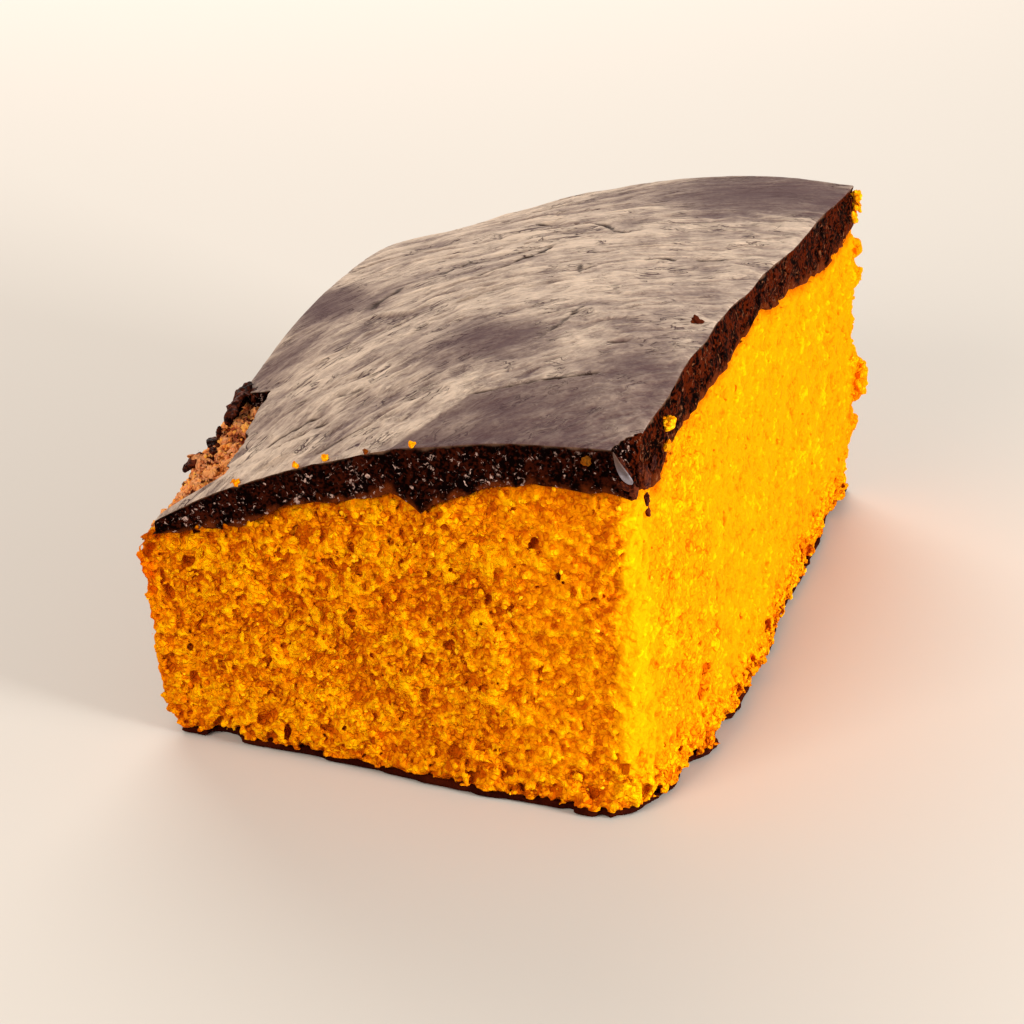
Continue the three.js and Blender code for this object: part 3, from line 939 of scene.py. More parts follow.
# Creases: width, depth, and the points that each runs through.
CREASES = (
    (0.60, 0.30, ((24, 72), (27.5, 71), (31, 71.2), (34.5, 70.2), (36, 68), (38.2, 66.3))),
    (0.50, 0.28, ((25, 47.5), (26.8, 51.5), (29.8, 56.8), (30.2, 60))),
    (0.50, 0.25, ((45, 53.8), (47.5, 54.8), (48.4, 54.3))),
    (0.45, 0.22, ((51, 55.4), (53, 56), (55.2, 56.8))),
    (0.55, 0.20, ((26.4, 61.6), (28.2, 63.4))),
    (0.50, 0.22, ((37.5, 11.2), (42, 12.8), (46, 14.2), (51.5, 15.8))),
    (0.65, 0.20, ((13.4, 40.5), (14.2, 43.5), (15.2, 46.2))),
    (0.45, 0.20, ((15.5, 6.6), (17.6, 8.2), (20.5, 9.4))),
    (0.45, 0.20, ((13.8, 7.6), (16.5, 10.2), (19.5, 12))),
    (0.40, 0.18, ((22, 2.2), (24.5, 5), (27.5, 7.2))),
    (0.40, 0.16, ((19.2, 49.8), (20.6, 53), (22.4, 56.6))),
    (0.40, 0.16, ((16.5, 55.6), (17.6, 57.4))),
    (0.45, 0.18, ((37.2, 51.5), (38.4, 47.6))),
    (0.50, 0.15, ((41, 24), (42.5, 29), (43.5, 34))),
    (0.40, 0.15, ((20, 15), (23.4, 15.6))),
    (0.40, 0.15, ((12.6, 15.4), (15, 16))),
    (0.40, 0.15, ((53, 74), (56.5, 75.6))),
    (0.40, 0.15, ((56, 68), (59.4, 66.4))),
    (0.40, 0.14, ((20.4, 67.5), (21.6, 65))),
    (0.40, 0.14, ((49, 23), (52.4, 24.2))),
)


def plan_at(s, t, z, inset, top):
    """x and y at a height, for s across from the torn edge and t along from the front."""
    y = t * DEPTH
    left = tin_side_at(z, top) + inset
    x = left + s * (right_cut_at(y, z) - left)
    rough = RELIEF * unevenness(x, y, z, RELIEF_GRAIN)
    foot = through(FOOT_SPREAD, x / WIDTH) * (1 - smooth_step(z / FOOT_HEIGHT))
    y = y - np.where(t < 1e-6, foot + rough, 0) + np.where(t > 1 - 1e-6, foot + rough, 0)
    x = x - np.where(s < 1e-6, TIN_SHARE * rough, 0) + np.where(s > 1 - 1e-6, rough, 0)
    return x, y


def drift_on(x, y, grain, seed):
    """Drift over the plan."""
    return drift(np.stack([x, y, np.full_like(x, seed)], 1).astype(np.float32), grain, seed)


def chip_at(x, y):
    """How high the glaze stands where the corner was broken off; far up elsewhere."""
    away = 1 - ((x - CHIP[0]) / CHIP_HALF[0]) ** 2 - ((y - CHIP[1]) / CHIP_HALF[1]) ** 2
    rough = 0.35 * drift_on(x, y, 1.3, 70)
    return np.where(away > 0, CHIP[2] + rough - CHIP_HALF[2] * np.sqrt(np.maximum(away, 0)), 99)


def droop_at(x, y):
    """How far the glaze hangs at the far right corner."""
    return 0.45 * smooth_step((y - 79) / 13) * smooth_step((x - 46) / 14)


def glaze_place(s, t, v):
    """Where the glaze's own s across, t along and v up come to lie."""
    top = top_at(0, t * DEPTH)
    z = top
    for _ in range(5):
        x, y = plan_at(s, t, z, torn_edge_at(t * DEPTH), top)
        sink = SINK * (0.5 + 0.35 * drift_on(x, y, 1.9, 69) + 0.35 * drift_on(x, y, 0.8, 65))
        sink = sink * smooth_step((x - 0.5) / 4)
        under = crumb_top_at(x, y) - 0.05 - sink
        roof = np.minimum(top_at(x, y), chip_at(x, y))
        z = under + v * (roof - under)
    return x + 0.9 * FAR_SWELL * smooth_step((y - 79) / 13) * s**12, y, z - droop_at(x, y)


def torn_edge_at(y):
    """The torn edge beside the bare strip, with its small tears."""
    small = 0.55 * drift_on(y, 0 * y, 1.7, 66) + 0.3 * drift_on(y, 0 * y, 0.7, 67)
    return torn_inset_at(y) + small * smooth_step((y - 0.6) / 1.5) * smooth_step((TORN_TO - y) / 2)


def far_from_line(x, y, line):
    """The distance from each place to a line of points."""
    far = np.full(len(x), 99.0)
    for (ax, ay), (bx, by) in zip(line, line[1:]):
        along = ((x - ax) * (bx - ax) + (y - ay) * (by - ay)) / ((bx - ax) ** 2 + (by - ay) ** 2)
        along = np.clip(along, 0, 1)
        far = np.minimum(far, np.hypot(x - ax - along * (bx - ax), y - ay - along * (by - ay)))
    return far


def arcs_at(x, y):
    """How far out and how far round a place lies on the wrinkles' arcs."""
    x, y = x - ARC_CENTRE[0], y - ARC_CENTRE[1]
    return np.hypot(x, y), np.arctan2(y, x) * ARC_REACH


def skin_of_glaze(x, y):
    """The set skin: its height in mm, how calm it is, its folds from -1 to 1, and how dark its
    creases are painted, as painted shade.
    """
    run, turn = arcs_at(x, y)
    calm = np.zeros_like(x)
    for px, py, wide, long, strength in CALM_PLACES:
        away = ((x - px) / wide) ** 2 + ((y - py) / long) ** 2
        calm = np.maximum(calm, strength * np.exp(-(away**1.5)))
    front = smooth_step((np.interp(x, *zip(*FOLD)) - y) / 1.6 + 0.4) * (x > 30)
    calm = np.maximum(calm, front * (0.80 - 0.2 * smooth_step((x - 50) / 8)))
    cloudy = 0.22 * drift_on(x, y, 6, 78) + 0.14 * drift_on(x, y, 2.2, 79)
    calm = np.clip(calm + cloudy * (1 - abs(2 * calm - 1) * 0.7), 0, 1)
    shift = drift_on(x, y, 7, 71) * 2.2 + drift_on(x, y, 2.4, 72) * 0.8
    folds = 0
    for across, along, height, seed in FOLDS:
        at = np.stack([(run + shift) / across, turn / along, np.full_like(x, seed)], 1)
        folds = folds + height * (1 - 2.6 * np.abs(drift(at.astype(np.float32), 1, seed)))
    folds = np.clip(folds, -1, 1) * (1 - 0.85 * calm)
    crease = np.zeros_like(x)
    groove = np.zeros_like(x)
    for width, deep, line in CREASES:
        wander = 0.25 * drift_on(x, y, 1.1, 68)
        near = np.exp(-((far_from_line(x, y, line) + wander) / width * 1.5) ** 2)
        crease = np.maximum(crease, near * (0.35 + 2.4 * deep))
        groove = np.maximum(groove, near * deep)
    swell = drift_on(x, y, 12, 76) * 0.22 + drift_on(x, y, 5.5, 77) * 0.16
    return swell - 0.15 + 0.30 * folds - 1.25 * groove, calm, folds, np.clip(crease, 0, 1)


s = np.linspace(0, 1, GLAZE_ACROSS + 1)
t = np.linspace(0, 1, GLAZE_ALONG + 1)
sheet_s, sheet_t = (a.ravel() for a in np.meshgrid(s, t, indexing="ij"))
around = [(n, 0) for n in range(GLAZE_ACROSS)] + [(GLAZE_ACROSS, n) for n in range(GLAZE_ALONG)]
around += [(GLAZE_ACROSS - n, GLAZE_ALONG) for n in range(GLAZE_ACROSS)]
around += [(0, GLAZE_ALONG - n) for n in range(GLAZE_ALONG)]
around = np.array(around)
rim = around[:, 0] * (GLAZE_ALONG + 1) + around[:, 1]
rim_s, rim_t = s[around[:, 0]], t[around[:, 1]]

skin_points = np.stack(glaze_place(sheet_s, sheet_t, 1.0), 1)
x, y, z = skin_points.T
broken = smooth_step((top_at(x, y) - z - 0.05) / 0.15) * (y < 20)
rise, calm, folds, crease = skin_of_glaze(*skin_points[:, :2].T)
edge = np.minimum.reduce([sheet_s * 55, (1 - sheet_s) * 55, sheet_t * 93, (1 - sheet_t) * 93])
skin_points[:, 2] += rise * (0.3 + 0.7 * smooth_step(edge / 1.5)) * (1 - broken)
skin_points[:, 2] -= 0.14 * (1 - smooth_step(edge / 0.45))
lift = skin_points[rim, 2] - glaze_place(rim_s, rim_t, 1.0)[2]
rows = [UNDER_SKIN - UNDER_SKIN * n / BAND_ROWS for n in range(BAND_ROWS + 1)]
rings = []
for v in rows:
    x, y, z = glaze_place(rim_s, rim_t, v)
    z = z + lift * v
    ahead = np.stack([np.roll(x, -1) - np.roll(x, 1), np.roll(y, -1) - np.roll(y, 1)], 1)
    ahead /= np.linalg.norm(ahead, axis=1, keepdims=True)
    at = np.stack([x, y, z], 1).astype(np.float32)
    push = 0.16 * drift(at, 2.6, 81) + 0.14 * drift(at, 1.1, 82) + 0.07 * drift(at, 0.55, 84)
    holes = np.maximum(drift(at, 0.9, 83) - 0.2, 0) * 0.7
    push = (push - holes) * smooth_step((1 - v) / 0.08)
    x, y = x + push * ahead[:, 1], y - push * ahead[:, 0]
    rings.append(np.stack([x, y, z], 1))
base_points = np.stack(glaze_place(sheet_s, sheet_t, 0.0), 1)
base_points[rim] = rings[-1]

cells = np.arange(GLAZE_ACROSS)[:, None] * (GLAZE_ALONG + 1) + np.arange(GLAZE_ALONG)
a, b, c, d = (cells.ravel() + step for step in (0, GLAZE_ALONG + 1, GLAZE_ALONG + 2, 1))
skin_corners = np.concatenate([np.stack([a, b, c], 1), np.stack([a, c, d], 1)])
count = len(skin_points)
ring_keys = [rim] + [count + n * len(rim) + np.arange(len(rim)) for n in range(len(rows) - 1)]
base_start = count + (len(rows) - 1) * len(rim)
ring_keys.append(base_start + rim)
walls = []
for upper, lower in zip(ring_keys, ring_keys[1:]):
    upper_next, lower_next = np.roll(upper, -1), np.roll(lower, -1)
    walls += [np.stack([upper, lower, lower_next], 1), np.stack([upper, lower_next, upper_next], 1)]
points = np.concatenate([skin_points, *rings[:-1], base_points])
corners = np.concatenate([skin_corners, *walls, skin_corners[:, ::-1] + base_start])
glaze = mesh_piece("chocolate_glaze_layer", points, corners.astype(np.int32))
unseen = np.zeros(len(points) - count)
down = [broken * 0.3, *[np.full(len(rim), 1 - v) for v in rows[:-1]], np.ones(count)]
mark(glaze, "down", np.concatenate(down))
mark(glaze, "cut", np.concatenate([broken, unseen + 1]))
for name, values in (("calm", calm), ("folds", folds), ("crease", crease)):
    mark(glaze, name, np.concatenate([values, unseen]))
for name, values in zip(("run", "turn"), arcs_at(points[:, 0], points[:, 1])):
    mark(glaze, name, values)
glaze.vertex_groups.new(name="under").add(list(range(base_start, len(points))), 1.0, "REPLACE")
thin = glaze.modifiers.new("thin", "DECIMATE")
thin.vertex_group = "under"
thin.ratio = 1 - (1 - UNDER_LEFT) * len(skin_corners) / len(corners)
finish_mesh(glaze)
glaze.vertex_groups.clear()
glaze.data.shade_smooth()
glaze.data.set_sharp_from_angle(angle=GLAZE_ANGLE)

# The skin's pale colour is its dull grey bloom with the back light's sheen painted into it. The calm
# colour, where little sheen is painted, is near the chocolate's own dark brown.
BLOOM_AND_SHEEN_SKIN = (0.73, 0.565, 0.44)
CALM_SKIN = (0.089, 0.0435, 0.047)
CREASE_SHADE = (0.05, 0.026, 0.020)

skin_finish, place, skin_shader = new_finish("glaze_skin", Specular_IOR_Level=0.07)
marks = {name: place.marked(name) for name in ("calm", "folds", "crease", "run", "turn")}
arcs = place.node("CombineXYZ", {}, {0: marks["run"] * 0.72, 1: marks["turn"] * 0.20})
streaks = arcs.noise(1.0, 3.0, Roughness=0.55, Distortion=0.8)
close = place.node("CombineXYZ", {}, {0: marks["run"] * 1.9, 1: marks["turn"] * 0.55})
close = close.noise(1.0, Distortion=1.2)
film = place.noise(120.0, 5.0, Roughness=0.6)
some = place.noise(190.0)
fine = place.noise(1700.0, 3.0)
loud = 1 - marks["calm"] * 0.72
# Along the wrinkles the light ridges are painted highlight, and the thin dark lines and hairs are
# painted shade.
lines = (1 - abs(streaks - 0.5).ramp(0.0, 0.022)) * some.ramp(0.52, 0.60) * loud
ridges = (1 - abs(streaks - 0.455).ramp(0.0, 0.028)) * some.ramp(0.46, 0.58) * loud
hairs = (1 - abs(close - 0.5).ramp(0.0, 0.05)) * (1 - some.ramp(0.36, 0.48)) * loud
# How much painted sheen each place takes: calm places take less and fold crests more. The noises add
# the bloom's own mottling.
sheen_and_shade = (
    1 - marks["calm"] * 0.92
    + marks["folds"] * 0.50
    + (streaks - 0.5) * loud * 1.5
    + (close - 0.5) * loud * 0.8
    + (film - 0.5) * loud * 1.7
    + (fine - 0.5) * (0.35 + loud * 0.3)
    - lines * 0.95
    + ridges * 0.30
    - hairs * 0.35
)
colour = sheen_and_shade.ramp(-0.1, 1.9).mix(CALM_SKIN, BLOOM_AND_SHEEN_SKIN)
# The creases are painted dark, as painted shade.
colour = marks["crease"].ramp(0.2, 0.9).mix(colour, CREASE_SHADE)
height = (streaks * 1.5 + close * 0.6 + fine * 0.2) * (0.12 + loud * 0.88)
height = height - lines * 0.5 + ridges * 0.25 - hairs * 0.15
dull = 0.56 + marks["calm"] * 0.1 + fine * 0.1
feed(skin_shader, Base_Color=colour, Roughness=dull, Normal=height.bump(0.00042))

BLACK_COCOA = (0.0022, 0.0005, 0.0004)
BROWN_COCOA = (0.034, 0.0050, 0.0017)
# The right cut's colour is its redder matt brown, painted lighter as the low right light falls on it.
SUNLIT_COCOA = (0.068, 0.0080, 0.0014)
TURNED_RIM_HIGHLIGHT = (0.14, 0.072, 0.045)
FRINGE = (0.11, 0.020, 0.004)
# The glint colours are painted highlights on the cut's holes; the right cut's ones are dimmer and
# browner.
GLINT = (0.50, 0.33, 0.28)
SUNLIT_GLINT = (0.18, 0.060, 0.024)

cut_finish, place, cut_shader = new_finish("glaze_cut", Specular_IOR_Level=0.005)
down = place.marked("down")
cloud = place.noise(420.0, 4.0)
fine = place.noise(2200.0, 3.0)
bead = place.noise(1500.0, 4.0, Roughness=0.7, Distortion=0.6)
wet = place.noise(230.0)
across = place.node("SeparateXYZ", {}, {0: place}) * 1000.0
on_right = (across + cloud).ramp(25.6, 27.6)
pore = place.node("TexVoronoi", {}, {"Vector": place, "Scale": 2500.0})
# Where the painted glint highlights lie.
glint = (bead + (wet - 0.5) * 0.25).ramp(0.588, 0.652) * (down * 6.0).ramp(0.3, 1.2)
crumbly = cloud + (fine - 0.5) * 1.1 + (pore - 0.4) * 0.35
colour = crumbly.ramp(0.44, 0.76).mix(BLACK_COCOA, BROWN_COCOA)
sunlit = crumbly.ramp(0.45, 0.70).mix(BLACK_COCOA, SUNLIT_COCOA)
colour = on_right.mix(colour, sunlit)
colour = (down + (cloud - 0.5) * 1.0).ramp(0.80, 1.06).mix(colour, FRINGE)
# The top rim of the cut, turned over by the knife, is painted lighter, partly as a painted edge
# highlight.
colour = (1 - (down + (cloud - 0.5) * 0.25).ramp(-0.03, 0.055)).mix(colour, TURNED_RIM_HIGHLIGHT)
colour = (1 - (across + cloud * 3.0).ramp(-31.8, -29.6)).mix(colour, FRINGE)
shine = on_right.mix(GLINT, SUNLIT_GLINT)
colour = glint.mix(colour, (bead * 2.6 - 1.25).ramp(0.0, 0.6).mix(BROWN_COCOA, shine))
height = fine * 0.6 + bead * 1.6 + cloud - pore * 0.5
feed(cut_shader, Base_Color=colour, Roughness=0.6 - glint * 0.3, Normal=height.bump(0.0003))

glaze.data.materials.append(skin_finish)
glaze.data.materials.append(cut_finish)
share = np.empty(len(glaze.data.vertices), np.float32)
glaze.data.attributes["cut"].data.foreach_get("value", share)
corner_points = np.empty(len(glaze.data.loops), np.int32)
glaze.data.loops.foreach_get("vertex_index", corner_points)
starts = np.empty(len(glaze.data.polygons), np.int32)
glaze.data.polygons.foreach_get("loop_start", starts)
is_cut = share[corner_points[starts[:, None] + np.arange(3)]].max(1) > 0.5
glaze.data.polygons.foreach_set("material_index", is_cut.astype(np.int32))
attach(glaze, "root")
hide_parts("chocolate_glaze")

# ---- Torn chocolate ---------------------------------------------------------------------------
# Where the glaze was pulled off the tin side, a strip of it rolled up into a lip and flakes stayed
# behind. At the near corner the knife pushed a petal of skin over the cut and dragged dark smears
# down the crumb. All of it is glaze, torn while it was soft.
LIP_AT = (3.5, 22.8, 33.9)
LIP_RADIUS = 1.05
LIP_THICK = 0.5
LIP_LONG = 7.2
LIP_RISE = 0.3
LIP_TURNS = (1.1, 4.5)
# Each lump: middle, half sizes, turn about y, seed.
LEFT_FLAKES = (
    ((1.5, 13.6, 30.1), (0.9, 1.4, 0.5), -0.45, 1),
    ((1.0, 12.2, 29.6), (0.65, 0.9, 0.4), -0.6, 13),
    ((2.0, 17.2, 30.9), (0.7, 1.4, 0.35), 0.3, 2),
    ((2.4, 18.3, 31.9), (0.30, 0.40, 0.75), 0.1, 3),
    ((3.4, 14.4, 31.2), (0.4, 0.6, 0.4), 0.5, 4),
    ((4.7, 24.7, 34.6), (0.75, 1.5, 0.75), 0.2, 12),
)
SMEARS = (
    ((59.9, -0.1, 41.9), (0.95, 0.35, 0.40), 0.3, 5),
    ((61.0, 0.1, 41.2), (0.42, 0.45, 0.85), 0.0, 6),
    ((60.95, 4.7, 41.0), (0.42, 0.85, 1.45), 0.0, 7),
    ((61.1, 4.6, 38.2), (0.36, 0.42, 0.95), 0.0, 8),
    ((61.1, 6.6, 42.0), (0.35, 0.8, 0.9), 0.0, 9),
    ((61.2, 4.7, 36.9), (0.30, 0.35, 0.6), 0.0, 10),
    ((61.0, 2.2, 42.9), (0.4, 0.6, 0.7), 0.0, 11),
    ((59.8, -0.2, 44.2), (0.5, 0.5, 1.5), -0.55, 14),
)
PETAL_FROM = (58.7, -0.75, 45.9)
PETAL_TO = (61.0, -0.85, 42.4)
PETAL_HALF = (0.55, 0.30)
PETAL_DARK = (0.09, 0.066, 0.072)
PETAL_PALE = (0.23, 0.205, 0.23)
PETAL_ROOT = (0.085, 0.040, 0.027)


def ball(subdivisions):
    """A ball of radius 1, as points and triangles."""
    made = bmesh.new()
    bmesh.ops.create_icosphere(made, subdivisions=subdivisions, radius=1)
    made.verts.index_update()
    points = np.array([v.co for v in made.verts])
    corners = np.array([[v.index for v in f.verts] for f in made.faces], np.int32)
    made.free()
    return points, corners


def lump(middle, half, lean, seed, uneven=0.36, subdivisions=5):
    """A torn lump of those half sizes, leaning about y."""
    points, corners = ball(subdivisions)
    size = max(half)
    at = points * half + seed * 7.3
    far = 1 + uneven * drift(at, 0.75 * size, 90) + uneven * 0.7 * drift(at, 0.3 * size, 91)
    points = points * far[:, None] * half
    x, y, z = points.T
    turned = [x * math.cos(lean) + z * math.sin(lean), y, z * math.cos(lean) - x * math.sin(lean)]
    return np.stack(turned, 1) + middle, corners


def heap(name, lumps):
    """One mesh object from several meshes."""
    starts = np.cumsum([0, *(len(points) for points, _ in lumps)])
    points = np.concatenate([points for points, _ in lumps])
    corners = np.concatenate([corners + start for (_, corners), start in zip(lumps, starts)])
    piece = mesh_piece(name, points, corners.astype(np.int32))
    piece.data.shade_smooth()
    return piece


def torn_glaze(name, shine, dark, light):
    """The finish of torn chocolate, painted dark in its hollows and light on its ridges, as painted
    shade and painted highlight.
    """
    finish, place, shader = new_finish(name, Specular_IOR_Level=shine)
    cloud = place.noise(500.0, 4.0)
    fine = place.noise(2400.0, 3.0)
    # Dark where the bump is low and light where it is high: painted shade and painted highlight.
    colour = (cloud + (fine - 0.5) * 0.9).ramp(0.35, 0.72).mix(dark, light)
    height = cloud + fine * 0.7
    feed(shader, Base_Color=colour, Roughness=0.36 + cloud * 0.4, Normal=height.bump(0.0005))
    return finish


torn_finish = torn_glaze("torn_glaze", 0.06, (0.010, 0.0016, 0.001), (0.12, 0.020, 0.006))
smear_finish = torn_glaze("smeared_glaze", 0.05, (0.020, 0.002, 0.001), (0.11, 0.018, 0.004))

around, along = np.linspace(0, 1, 73), np.linspace(-1, 1, 49)
angle = LIP_TURNS[0] + (LIP_TURNS[1] - LIP_TURNS[0]) * around
taper = np.sqrt(np.maximum(1 - (2 * around - 1) ** 6, 0))
rows = []
for v in along:
    half = LIP_THICK / 2 * taper * math.sqrt(max(1 - v**6, 0))
    torn = 0.6 * drift_on(angle * 1.3, angle * 0 + v * 3, 0.9, 92) + 0.25 * v * np.sin(angle * 2)
    middle_radius = (LIP_RADIUS + 0.25 * torn) * (1 - 0.3 * v * v)
    radius = np.concatenate([middle_radius + half, (middle_radius - half)[::-1]])
    turn = np.concatenate([angle, angle[::-1]])
    out = -(v * LIP_LONG / 2) * (1 + 0.12 * np.concatenate([torn, torn[::-1]]))
    rows.append(np.stack([radius * np.cos(turn), out, radius * np.sin(turn)], 1))
points = np.array(rows)
y, z = points[..., 1].copy(), points[..., 2].copy()
points[..., 1] = y * math.cos(LIP_RISE) - z * math.sin(LIP_RISE)
points[..., 2] = y * math.sin(LIP_RISE) + z * math.cos(LIP_RISE)
keys = np.arange(points.size // 3).reshape(points.shape[:2])
points = points.reshape(-1, 3)
uneven = [
    0.40 * drift(points, 1.5, seed) + 0.26 * drift(points, 0.55, seed + 4) for seed in (95, 96, 97)
]
points = points + np.stack(uneven, 1)
a, b = keys[:-1], keys[1:]
a_next, b_next = np.roll(a, -1, 1), np.roll(b, -1, 1)
corners = [np.stack(three, -1).reshape(-1, 3) for three in ((a, a_next, b_next), (a, b_next, b))]
corners = np.concatenate(corners).astype(np.int32)
lip = mesh_piece("glaze_lip", points + LIP_AT, corners)
closing = bmesh.new()
closing.from_mesh(lip.data)
bmesh.ops.remove_doubles(closing, verts=closing.verts, dist=2e-6)
bmesh.ops.recalc_face_normals(closing, faces=closing.faces)
closing.to_mesh(lip.data)
closing.free()
lip.data.shade_smooth()

flakes = heap("glaze_flakes", [lump(*flake) for flake in LEFT_FLAKES])
smears = heap("glaze_smears", [lump(*smear, uneven=0.4) for smear in SMEARS])

points, corners = ball(5)
start_at, end_at = np.array(PETAL_FROM), np.array(PETAL_TO)
length = (end_at - start_at) / 2
side = np.cross(length, [0, 1, 0]) / np.linalg.norm(length)
broad = PETAL_HALF[0] * (0.80 + 0.55 * points[:, 0])
cupped = 0.35 * (points[:, 1] ** 2 - 0.4) - 0.25 * points[:, 0] ** 2
points = (
    (start_at + end_at) / 2
    + points[:, :1] * length
    + (points[:, 1] * broad)[:, None] * side
    + (points[:, 2] * PETAL_HALF[1] - cupped)[:, None] * np.array([0, 1, 0])
)
petal = mesh_piece("skin_petal", points, corners)
petal.data.shade_smooth()
petal_finish, place, petal_shader = new_finish("petal_skin", Specular_IOR_Level=0.35)
cloud = place.noise(900.0, 4.0)
upward = place.node("SeparateXYZ", {}, {0: place}, out="Z")
colour = cloud.ramp(0.3, 0.7).mix(PETAL_DARK, PETAL_PALE)
colour = (upward * 1000.0).ramp(43.6, 45.2).mix(colour, PETAL_ROOT)
normal = cloud.bump(0.0002, 0.8)
feed(petal_shader, Base_Color=colour, Roughness=0.35 + cloud * 0.3, Normal=normal)

finishes = torn_finish, torn_finish, smear_finish, petal_finish
for piece, finish in zip((lip, flakes, smears, petal), finishes):
    piece.data.materials.append(finish)
    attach(piece, "root")
    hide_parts("chocolate_glaze")

# ---- Loose crumb ------------------------------------------------------------------------------
# Crumbs that the knife shook loose: some stuck to the glaze and its cut, and fine grains strewn
# over the cuts, the bare strip and the foot.

# Each stray crumb: middle, half sizes, how dark and how yellow it is.
STRAYS = (
    ((61.3, 11.4, 44.85), (0.75, 1.1, 0.8), 0.0, 0.7),
    ((61.4, 10.5, 42.4), (0.5, 0.7, 0.55), 0.25, 0.4),
    ((61.45, 11.5, 41.6), (0.4, 0.5, 0.4), 0.35, 0.2),
    ((55.7, -0.2, 44.3), (0.5, 0.3, 0.55), 0.74, 0.4),
    ((58.6, 31.0, 49.3), (0.75, 0.6, 0.5), 0.97, 0.0),
    ((20.55, 0.15, 38.1), (0.35, 0.3, 0.42), 0.1, 0.4),
    ((24.25, 0.15, 39.6), (0.4, 0.35, 0.42), 0.05, 0.5),
    ((34.9, 0.2, 42.85), (0.35, 0.3, 0.38), 0.05, 0.5),
    ((29.3, 0.1, 41.2), (0.3, 0.25, 0.3), 0.8, 0.1),
    ((13.0, 0.4, 34.6), (0.5, 0.4, 0.4), 0.1, 0.2),
    ((12.2, 1.3, 34.2), (0.35, 0.3, 0.25), 0.1, 0.2),
    ((61.3, 94.7, 43.7), (0.65, 0.5, 0.95), 0.1, 0.5),
    ((61.5, 94.5, 42.2), (0.45, 0.5, 1.0), 0.1, 0.5),
    ((61.2, 94.4, 40.7), (0.55, 0.6, 1.1), 0.1, 0.5),
)
# Each is three lumps: their share of its size, and how far off its middle they sit.
STRAY_PARTS = ((1.0, 0), (0.62, 0.7), (0.5, 0.75))

BRIGHT_TIP = (0.98, 0.52, 0.006)
SINGED = (0.06, 0.010, 0.004)

crumb_bits, place, bits_shader = new_finish("loose_crumb", Roughness=0.9, Specular_IOR_Level=0.012)
tone, burnt, pale = (place.marked(name) for name in ("tone", "burnt", "pale"))
speck = place.noise(2300.0, 3.0)
level = tone + (speck - 0.5) * 1.5
colour = level.ramp(0.0, 0.6).mix(DARK_TONE_AND_PIT_SHADE, GRAIN)
colour = level.ramp(0.45, 1.0).mix(colour, BRIGHT_TIP)
colour = pale.mix(colour, PEACH)
colour = (burnt + (speck - 0.5) * burnt).ramp(0.0, 1.0).mix(colour, SINGED)
feed(bits_shader, Base_Color=colour, Normal=speck.bump(0.00016, 0.8))

lumps, tones, burns = [], [], []
for n, (middle, half, dark, yellow) in enumerate(STRAYS):
    for part, (share, off) in enumerate(STRAY_PARTS):
        way = part * 2.1
        shift = np.array([math.sin(n * 5 + way), math.cos(n * 3 + way), math.sin(n + part)])
        at = np.array(middle) + shift * np.array(half) * off
        lumps.append(lump(at, np.array(half) * share, 0.2 * n, 20 + n * 3 + part, 0.35, 4))
        tones.append(np.full(len(lumps[-1][0]), 0.35 + 0.6 * yellow - 0.12 * part))
        burns.append(np.full(len(lumps[-1][0]), dark))
strays = heap("stray_crumbs", lumps)
mark(strays, "tone", np.concatenate(tones))
mark(strays, "burnt", np.concatenate(burns))
mark(strays, "pale", np.zeros(len(strays.data.vertices)))
strays.data.materials.append(crumb_bits)
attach(strays, "root")

grain_shapes = bpy.data.collections.new("grain shapes")
for seed in range(5):
    points, corners = lump((0, 0, 0), (1, 0.8, 0.7), 0, 60 + seed, 0.45, 2)
    mesh = bpy.data.meshes.new("grain")
    mesh.from_pydata(points.tolist(), [], corners.tolist())
    grain_shapes.objects.link(bpy.data.objects.new(f"grain_{seed}", mesh))

strewing = bpy.data.node_groups.new("strewn crumb", "GeometryNodeTree")
sockets = {
    name: strewing.interface.new_socket(name, in_out="INPUT", socket_type="NodeSocket" + kind)
    for name, kind in (
        ("Cut", "Object"),
        ("Grain shapes", "Collection"),
        ("Per square metre", "Float"),
        ("Smallest", "Float"),
        ("Largest", "Float"),
        ("Finish", "Material"),
        ("Seed", "Int"),
    )
}
strewing.interface.new_socket("Crumb", in_out="OUTPUT", socket_type="NodeSocketGeometry")


def step(kind, settings, inputs):
    """Adds a node to the strewing, and returns its outputs."""
    made = strewing.nodes.new(kind)
    for name, value in settings.items():
        setattr(made, name, value)
    for name, value in inputs.items():
        if isinstance(value, bpy.types.NodeSocket):
            strewing.links.new(value, made.inputs[name])
        else:
            made.inputs[name].default_value = value
    return made.outputs


def chance_between(low, high, seed):
    return step("FunctionNodeRandomValue", {}, {2: low, 3: high, 8: seed})[1]


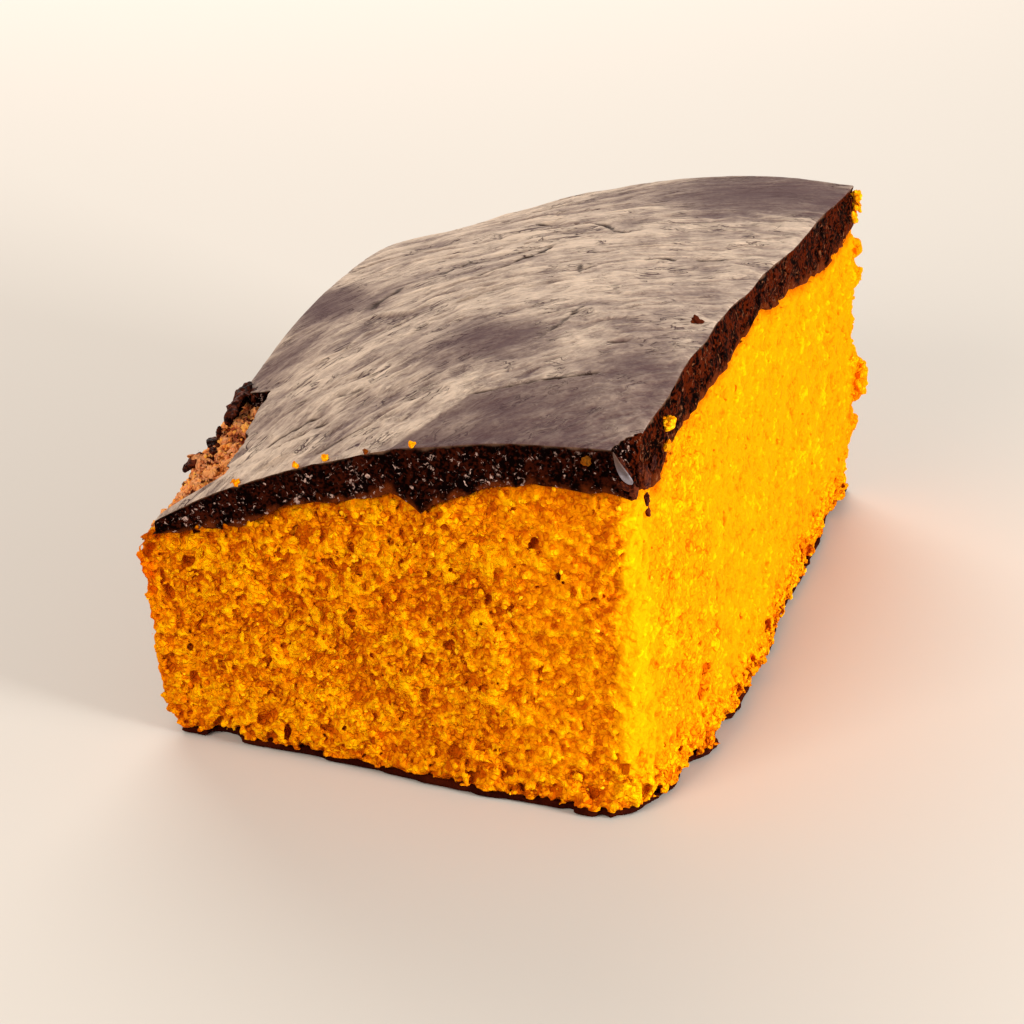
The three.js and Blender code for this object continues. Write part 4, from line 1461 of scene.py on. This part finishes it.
given = step("NodeGroupInput", {}, {})
surface = step("GeometryNodeObjectInfo", {}, {"Object": given["Cut"]})
loose = step("GeometryNodeInputNamedAttribute", {"data_type": "FLOAT"}, {"Name": "loose"})
crowd = {0: loose[0], 1: given["Per square metre"]}
crowd = step("ShaderNodeMath", {"operation": "MULTIPLY"}, crowd)
laid = step(
    "GeometryNodeDistributePointsOnFaces",
    {"distribute_method": "RANDOM"},
    {"Mesh": surface["Geometry"], "Density": crowd[0], "Seed": given["Seed"]},
)
spun = [chance_between(0.0, 6.28, seed) for seed in (1, 2, 3)]
spin = step("ShaderNodeCombineXYZ", {}, dict(enumerate(spun)))
skewed = step(
    "ShaderNodeMath", {"operation": "POWER"}, {0: chance_between(0.0, 1.0, 5), 1: 2.2}
)
size = step(
    "ShaderNodeMapRange",
    {},
    {"Value": skewed[0], "To Min": given["Smallest"], "To Max": given["Largest"]},
)
toned = step(
    "GeometryNodeStoreNamedAttribute",
    {"data_type": "FLOAT", "domain": "POINT"},
    {"Geometry": laid["Points"], "Name": "tone", "Value": chance_between(0.1, 1.05, 4)},
)
shapes = step(
    "GeometryNodeCollectionInfo",
    {},
    {"Collection": given["Grain shapes"], "Separate Children": True, "Reset Children": True},
)
put = step(
    "GeometryNodeInstanceOnPoints",
    {},
    {
        "Points": toned["Geometry"],
        "Instance": shapes[0],
        "Pick Instance": True,
        "Rotation": spin[0],
        "Scale": size[0],
    },
)
real = step("GeometryNodeRealizeInstances", {}, {"Geometry": put[0]})
dressed = step("GeometryNodeSetMaterial", {}, {"Geometry": real[0], "Material": given["Finish"]})
step("NodeGroupOutput", {}, {"Crumb": dressed[0]})

for seed, length_name in enumerate(("front", "middle", "back")):
    bits_name = f"loose_grains_{length_name}"
    bits = bpy.data.objects.new(bits_name, bpy.data.meshes.new(bits_name))
    bpy.context.scene.collection.objects.link(bits)
    strewn = bits.modifiers.new("strewn", "NODES")
    strewn.node_group = strewing
    for name, value in (
        ("Cut", bpy.data.objects[f"crumb_{length_name}"]),
        ("Grain shapes", grain_shapes),
        ("Per square metre", 900000.0),
        ("Smallest", 0.00013),
        ("Largest", 0.00048),
        ("Finish", crumb_bits),
        ("Seed", 70 + seed),
    ):
        strewn[sockets[name].identifier] = value
    finish_mesh(bits)
    points = points_of(bits)
    singed = smooth_step((drift(points, 0.8, 94) - 0.25) / 0.2) * is_strip(points)
    mark(bits, "burnt", singed)
    mark(bits, "pale", np.where(is_strip(points), 0.55 + 0.35 * drift(points, 0.9, 93), 0))
    bits.data.shade_smooth()
    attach(bits, "root")
for shape in list(grain_shapes.objects):
    bpy.data.objects.remove(shape)
bpy.data.collections.remove(grain_shapes)
